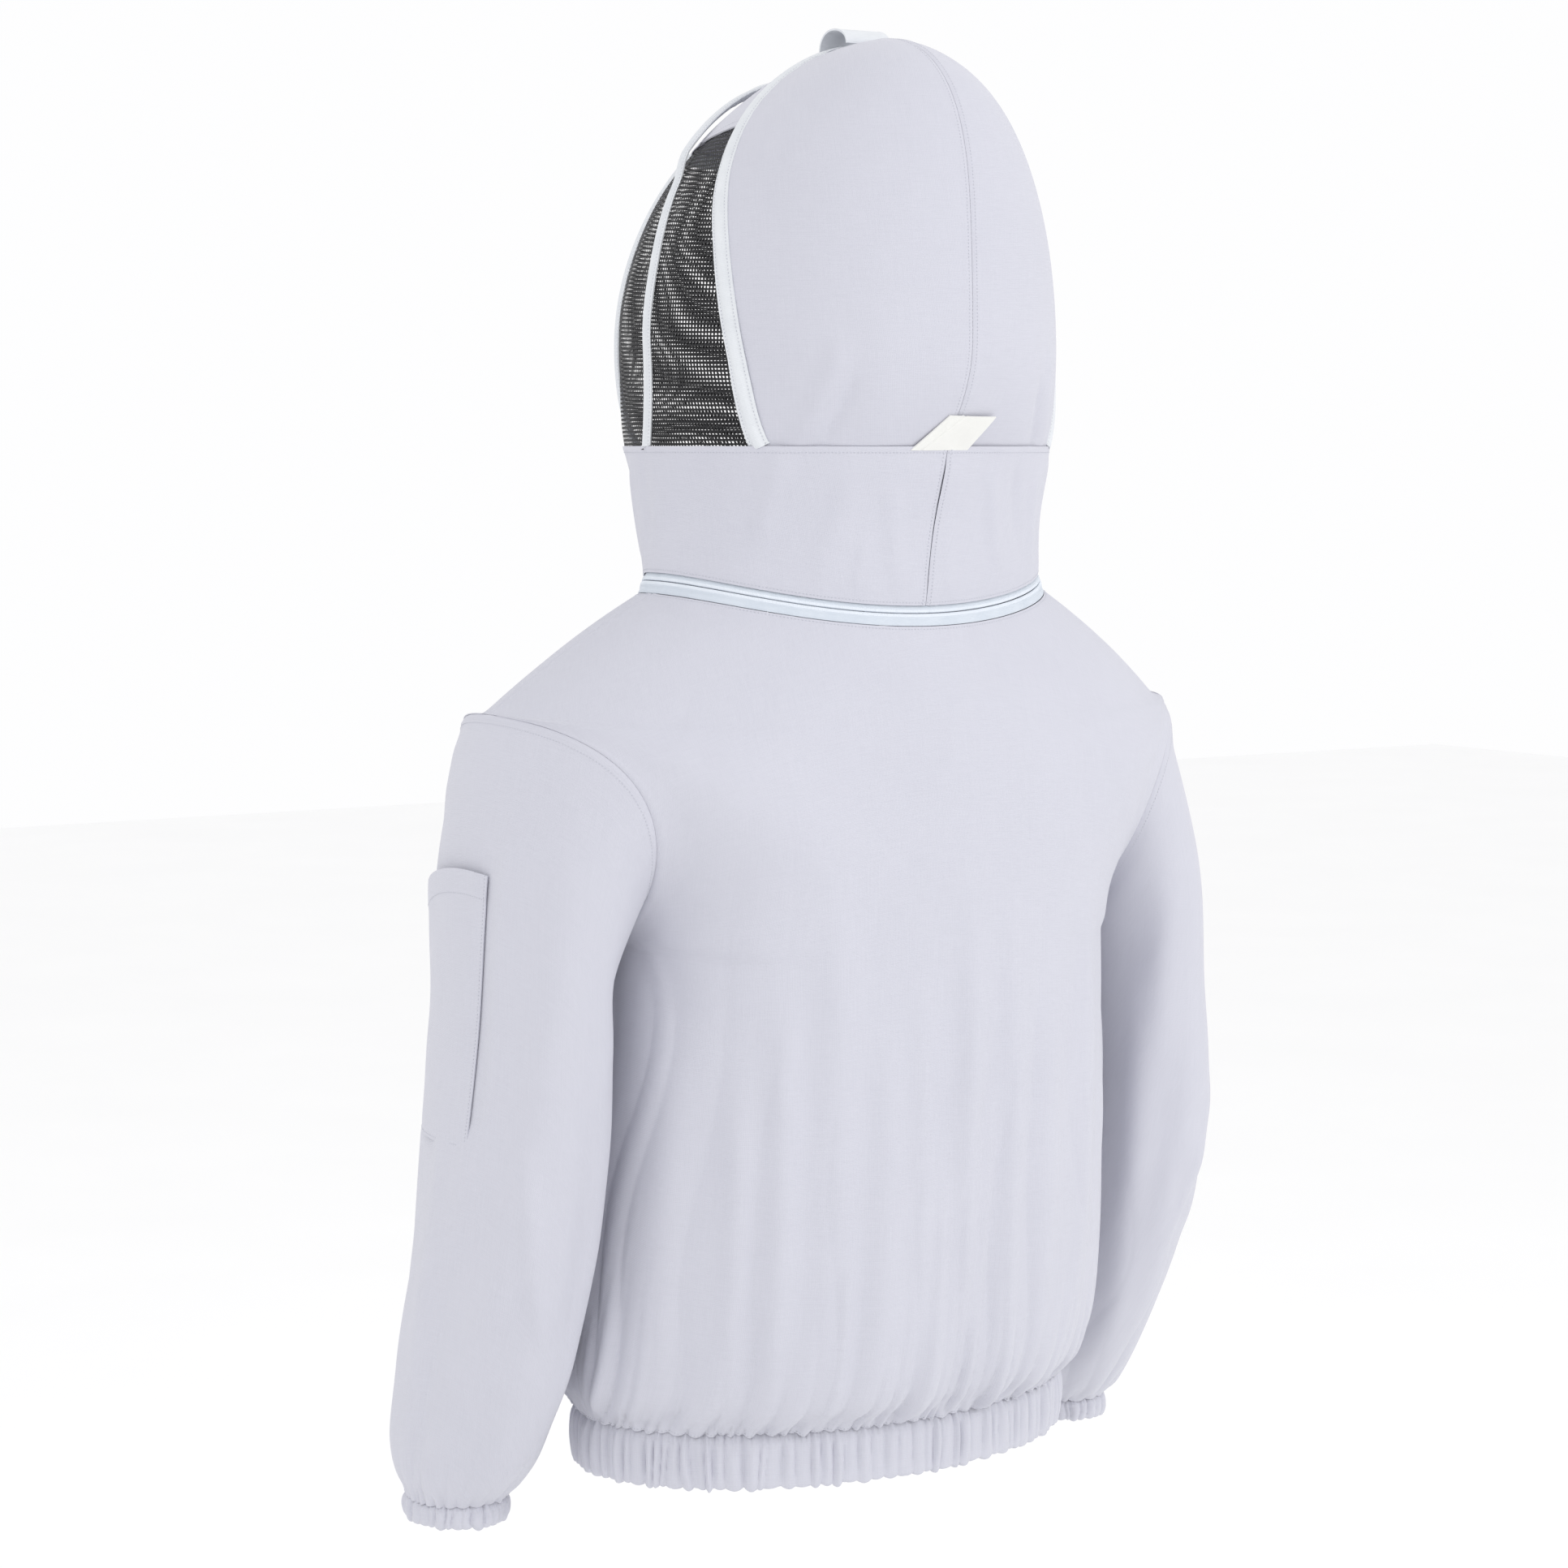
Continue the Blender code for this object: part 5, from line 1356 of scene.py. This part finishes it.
def pocket(name, grid, centre, bulge, material_body, replaced, gape):
    """A patch pocket with turned edges: its top hem stands open and its sides are sewn flat."""
    u, v = lengths(grid, 1), lengths(grid, 0)
    edge = np.minimum(u, u[:, -1:] - u)
    rise = smooth(edge / 14.0) * smooth(v / 16.0)
    top = v[-1:] - v
    relief = 1.6 + bulge * rise * (0.35 + 0.65 * hump(top, 55.0))
    relief += 0.45 * hump(edge, 5.0, 6) + 0.5 * hump(top, 19.0, 8)
    relief += gape * hump(top, 16.0) * smooth(edge / 12.0) * (0.75 + 0.25 * np.sin(u / 16.0))
    relief += 0.7 * drift(u, v, 77, 70.0) * rise
    sheet = Sheet(name, grid, centre, relief, thickness=0.9)
    finish(sheet.obj, COTTON, material_body, [replaced])
    sheet.declare()
    return sheet, [sheet.line(e, 2.2) for e in ("left", "right", "bottom")] + [sheet.line("top", 17.0)]


def make_pockets():
    t, turn = np.linspace(*SLEEVE_POCKET_ROWS, 120), np.radians(np.linspace(*SLEEVE_POCKET_TURN, 66))
    grid = sleeve(t, turn)
    middle = sleeve(t, full_turn(40)).mean(axis=1, keepdims=True)
    sheet, rows_of = pocket("sleeve_pocket_cloth", grid, middle, 2.6, None, "sleeve_pocket", 0.9)
    bends_with(sheet.obj)
    obj = finish(stitches("sleeve_pocket_stitches", rows_of), THREAD, None)
    bends_with(obj)
    rows_of = []
    v, share = np.linspace(*HIP_POCKET_ROWS, 110), np.linspace(*HIP_POCKET_SPAN, 80)
    for side, sign in SIDES:
        grid = on_side(torso(v[:, None], share[None], False), sign)
        _, lines = pocket(f"hip_pocket_cloth_{side}", grid, middle_line(grid, 0.0), 5.0, "jacket",
                          f"hip_pocket_{side}", 2.4)
        rows_of += lines
    finish(stitches("hip_pocket_stitches", rows_of), THREAD, "jacket")


# ---------------------------------------------------------------- zips


def ribbed(path, out, across, inner, outer, body, name, replaced, crown=0.9):
    """One side of a coil under its tape: a rounded ridge with a rib over each turn of the coil."""
    base, pitch = -1.3, 1.5
    s = distances(path)
    points = even(path, max(4, int(s[-1] / (pitch / 4))))
    at = distances(points)
    frames = [unit(sampled(v, s, at)) for v in (out, across)]
    rib = 0.5 + 0.5 * np.cos(at * 2 * math.pi / pitch)
    middle, half = (inner + outer) / 2, abs(outer - inner) / 2
    turn = np.linspace(0, math.pi, 7)
    dome = np.stack([np.sin(turn), np.cos(turn)], -1)
    station = np.zeros((len(points), 9, 2))
    lift = crown - 0.22 * (1 - rib)
    station[:, :7, 0] = lift[:, None] * dome[None, :, 0] ** 0.7
    station[:, :7, 1] = middle + half * dome[None, :, 1]
    station[:, 7], station[:, 8] = (base, middle - half), (base, middle + half)
    obj = swept(name, sections(points, *frames, station))
    return finish(obj, COIL, body, [replaced])


def tape_strip(path, out, across, near, far, body, name, replaced, base=-0.9):
    """A zip's tape with a thicker woven edge beside the coil."""
    sign = 1.0 if far > near else -1.0
    width = abs(far - near)
    top = [(0.55, 0.0), (0.62, 0.5), (0.45, 1.0), (0.05, 1.7), (0.0, width * 0.6), (0.0, width - 0.3),
           (-0.2, width)]
    outline = [(base + TAPE + a, near + sign * b) for a, b in top] + [(base, far), (base, near)]
    obj = swept(name, sections(path, out, across, outline))
    return finish(obj, ZIP_TAPE_CLOTH, body, [replaced])


def slider_body(name, centre, along, out, across):
    """A slider's two plates joined by a wedge, rounded at the corners, with a raised bridge."""
    def plate(low, high):
        turn = full_turn(32)
        x = 6.0 * squared(np.cos(turn), 0.5)
        taper = 1.0 - 0.22 * (x < -2) * np.clip((-x - 2) / 4, 0, 1)
        y = 4.8 * squared(np.sin(turn), 0.5) * taper
        rings = []
        for level, grow in ((low, 0.88), (low + 0.3, 1.0), (high - 0.35, 1.0), (high, 0.86)):
            rings.append(centre + along * x[:, None] * grow + across * y[:, None] * grow + out * level)
        return np.stack(rings)
    return [(f"{name}_front", plate(1.75, 3.3)), (f"{name}_rear", plate(-3.3, -2.1))]


def arch(centre, along, out, across):
    """The bridge that holds a pull: a bent strip over the slider's face."""
    t = np.linspace(0, 1, 17)
    rise = 3.25 + 1.9 * np.sin(math.pi * t) ** 0.5
    path = centre + along * (5.0 * (t - 0.5))[:, None] + out * rise[:, None]
    direction = unit(np.gradient(path, axis=0))
    lift = unit(np.cross(np.tile(across, (17, 1)), direction))
    turn = full_turn(8)
    outline = np.stack([0.42 * np.sin(turn), 0.95 * np.cos(turn)], -1)
    return sections(path, lift, np.tile(across, (17, 1)), outline)


def pull_tag(name, hinge, along, out, across, body):
    """A pull: a rounded plate with an eye round the bridge and a slot near its free end."""
    steps = 48
    turn = full_turn(steps)
    x = 9.8 + 10.2 * squared(np.cos(turn), 0.55)
    y = 2.5 * squared(np.sin(turn), 0.6) * (0.72 + 0.28 * np.clip(x / 14, 0, 1))
    hole_x = 12.5 + 4.6 * squared(np.cos(turn), 0.7)
    hole_y = 1.15 * squared(np.sin(turn), 0.8)
    rings = []
    for level, px, py, k in ((0.6, x, y, 0.97), (0.6, hole_x, hole_y, 1.06), (0.4, hole_x, hole_y, 1.0),
                             (-0.4, hole_x, hole_y, 1.0), (-0.6, hole_x, hole_y, 1.06),
                             (-0.6, x, y, 0.97), (-0.42, x, y, 1.0), (0.42, x, y, 1.0)):
        cx = px.mean()
        rings.append(hinge + along * ((px - cx) * k + cx)[:, None] + across * (py * k)[:, None] + out * level)
    points = np.concatenate(rings)
    obj = mesh_object(name, points, fix_winding(points, quads(len(rings), steps, True, True)), sharp=35.0)
    return finish(obj, PLATED, body, [name.replace("_tag", "_pull")])


def slider(name, centre, along, out, across, body, pull_body):
    for part, rings in slider_body(name, centre, along, out, across):
        obj = swept(f"{part}_plate", rings)
        finish(obj, PLATED, body, [f"{name}_slider"] if part.endswith("front") else [])
    turn = full_turn(12)
    wedge = np.stack([centre + along * (2.0 + 2.6 * np.cos(turn))[:, None]
                      + across * (0.6 * np.sin(turn))[:, None] + out * level for level in (-2.4, 2.2)])
    finish(swept(f"{name}_wedge", wedge), PLATED, body)
    finish(swept(f"{name}_bridge", arch(centre, along, out, across)), PLATED, body,
           [f"{name}_bail"])
    hinge = centre + along * 3.7 + out * 4.25
    pull_tag(f"{name}_tag", hinge, along, out, across, pull_body)


def make_neck_zip():
    end = math.asin(0.8 / NECK_HALF_WIDTH)
    angle = np.linspace(-math.pi + end, math.pi - end, 700)
    path = neck(angle)
    out, down = neck_directions(angle)
    for level, sign, body in (("upper", -1.0, "hood"), ("lower", 1.0, "jacket")):
        ribbed(path, out, down, sign * 0.35, sign * ZIP_COIL, body, f"neck_coil_cloth_{level}",
               f"neck_coil_{level}", crown=0.8)
        tape_strip(path, out, down, sign * (ZIP_COIL - 0.2), sign * (ZIP_SEAM - 0.6), body,
                   f"neck_tape_cloth_{level}", f"neck_tape_{level}")
    for side, sign in SIDES:
        at = np.array([math.pi - sign * math.asin(12.0 / NECK_HALF_WIDTH)])
        out, down = (v[0] for v in neck_directions(at))
        along = sign * np.cross(down, out)
        along = along if along[0] * sign > 0 else -along
        slider(f"neck_{side}", neck(at)[0], along, out, down, f"neck_slider_{side}", f"neck_pull_{side}")


def make_front_zip():
    z = np.linspace(FRONT_TOP[2] - 1.5, HEM_BOTTOM + 3.5, 240)
    path = np.stack([0 * z, front_line(z), z], -1)
    along = unit(path[-1] - path[0])
    right = SIDEWAYS
    out = unit(np.cross(along, right))
    out = -out if out[1] > 0 else out
    frames = [np.tile(v, (len(z), 1)) for v in (out, right)]
    base = path - out * 0.9
    for side, sign in SIDES:
        ribbed(base, *frames, sign * 0.35, sign * ZIP_COIL, "jacket", f"front_coil_cloth_{side}",
               f"front_coil_{side}", crown=1.1)
        tape_strip(base, *frames, sign * (ZIP_COIL - 0.2), sign * (ZIP_SEAM + 1.0), "jacket",
                   f"front_tape_cloth_{side}", f"front_tape_{side}", base=-1.4)
    top = -36.0
    middle = np.array([0, front_line(top), top]) - out * 0.9
    slider("front", middle, along, out, right, "front_slider", "front_pull")


# ---------------------------------------------------------------- loop and tab


def tape_piece(name, path, wide, normal, half, thick, body, replaced, material):
    """A flat tape with rounded selvedges, folded along a path."""
    outline = []
    for side in (1, -1):
        for k in np.linspace(0, 1, 9)[:: side]:
            outline.append((side * thick / 2 * (1 + 0.25 * (k in (0.0, 1.0))), half * (2 * k - 1)))
    obj = swept(name, sections(path, normal, wide, outline))
    return finish(obj, material, body, [replaced])


def make_trims():
    ends = onto_hood(np.array([[0, LOOP_Y + LOOP_HALF_SPAN, 407], [0, LOOP_Y - LOOP_HALF_SPAN, 404]]))
    t = np.linspace(0, 1, 60)
    path = ends[0] + (ends[1] - ends[0]) * t[:, None]
    path[:, 1] = LOOP_Y + (LOOP_HALF_SPAN + 1.0) * np.cos(math.pi * t)
    path[:, 2] = LOOP_TOP + (path[:, 2] - LOOP_TOP) * (1 - np.sin(math.pi * t) ** 0.8)
    path = even(path, 60)
    along = unit(np.gradient(path, axis=0))
    x = np.tile(SIDEWAYS, (60, 1))
    normal = unit(np.cross(along, x))
    normal *= np.sign(normal[30, 2])
    obj = tape_piece("hanging_loop_tape", path - normal * 0.7, x, normal, LOOP_HALF_WIDTH, 1.1, "hood",
                     "hanging_loop", TAPE_CLOTH)
    long = float(distances(path)[-1])

    rows, cols = 26, 60
    z = np.linspace(COLLAR_TOP + 0.6, 140.0, rows)
    slant = (z - z[0]) / (z[-1] - z[0])
    first, last = 30.0 - 22.0 * slant, -17.0 - 15.0 * slant
    x = first[:, None] + (last - first)[:, None] * np.linspace(0, 1, cols)
    grid = hood_at(np.arcsin(x / hood_ring(z)[0][:, None]), np.broadcast_to(z[:, None], x.shape))
    u, v = lengths(grid, 1), lengths(grid, 0)
    relief = 2.6 + 0.5 * drift(u, v, 91, 60.0) - 0.5 * hump(u - 8.5 - v * 0.1, 0.8)
    relief += 0.9 * smooth(v / v.max()) * np.sin(u / u.max() * math.pi)
    sheet = Sheet("back_tab_tape", grid, middle_line(grid, 0.0), relief, thickness=1.3)
    finish(sheet.obj, CREAM_TAPE, "tab", ["back_tab"])
    sheet.declare()


def dress_hidden_nodes():
    """Wires and elastics stay as the CAD has them, inside their casings."""
    for name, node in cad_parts.items():
        for word, material in (("hoop_wire", SPRING), ("elastic", ELASTIC)):
            if word in name:
                node.data.materials.clear()
                node.data.materials.append(material)


# ---------------------------------------------------------------- stage


def looking(direction):
    """Rotation that turns a lamp or a camera to face along a direction."""
    return mathutils.Vector(direction).to_track_quat("-Z", "Y").to_euler()


def area_light(name, place, aim, size, power):
    data = bpy.data.lights.new(name, "AREA")
    data.energy, data.size = power, size
    lamp = bpy.data.objects.new(name, data)
    lamp.location = place
    lamp.rotation_euler = looking(np.array(aim) - np.array(place))
    bpy.context.scene.collection.objects.link(lamp)


# In metres. The view is from behind the wearer's left: BACK points to the camera, RIGHT across its picture.
VIEW_BACK = np.array([0.5446, 0.8387, 0.0])
VIEW_RIGHT = np.array([-0.8387, 0.5446, 0.0])
CAMERA_AWAY, CAMERA_ASIDE, CAMERA_HEIGHT, CAMERA_PITCH = 2.7, 0.039, 0.116, math.radians(3.5)
LENS, SENSOR, LENS_SHIFT = 84.5, 36.0, -0.07
FLOOR_Z, FLOOR_REACH = -1.1, 9.0


def make_camera():
    data = bpy.data.cameras.new("camera")
    data.lens, data.sensor_width, data.shift_y = LENS, SENSOR, LENS_SHIFT
    cam = bpy.data.objects.new("camera", data)
    cam.location = VIEW_BACK * CAMERA_AWAY - VIEW_RIGHT * CAMERA_ASIDE + UP * CAMERA_HEIGHT
    look = -VIEW_BACK * math.cos(CAMERA_PITCH) - UP * math.sin(CAMERA_PITCH)
    cam.rotation_euler = looking(look)
    bpy.context.scene.collection.objects.link(cam)
    bpy.context.scene.camera = cam


def make_floor():
    n = Nodes("floor")
    cloud = n.noise(n.place(), 3.0, 3.0)
    pale = n.look({"Base Color": n.mix(cloud, (0.95, 0.95, 0.95, 1), (0.98, 0.98, 0.98, 1)),
                   "Roughness": 0.9})
    points = np.array([(-1, -1), (1, -1), (1, 1), (-1, 1)]) * FLOOR_REACH
    points = np.column_stack([points, np.full(4, FLOOR_Z)]) / MM
    floor = mesh_object("floor", points, np.array([(0, 1, 2, 3)]))
    floor.data.materials.append(pale)


def make_light():
    """White surroundings and three weak lamps, so that the cloth is lit almost evenly."""
    bpy.context.scene.view_settings.view_transform = "Standard"
    world = bpy.data.worlds.new("studio")
    world.use_nodes = True
    bpy.context.scene.world = world
    background = world.node_tree.nodes["Background"]
    background.inputs["Color"].default_value = (0.99, 0.99, 0.995, 1.0)
    background.inputs["Strength"].default_value = 1.0
    area_light("key", VIEW_BACK * 2.3 - VIEW_RIGHT * 1.0 + UP * 1.1, (0, 0, -0.2), 1.0, 8.0)
    area_light("fill", VIEW_BACK * 1.1 + VIEW_RIGHT * 2.5 + UP * 0.8, (0, 0, -0.25), 1.0, 17.0)
    area_light("rim", -VIEW_BACK * 2.0 + VIEW_RIGHT * 0.6 + UP * 2.2, (0, 0, 0), 1.4, 3.0)


make_hood_backs()
make_visor()
make_hoop_tapes()
make_nets()
make_collar()
make_torso()
make_hem()
make_sleeves()
make_pockets()
make_neck_zip()
make_front_zip()
make_trims()
dress_hidden_nodes()
make_floor()
make_light()
make_camera()
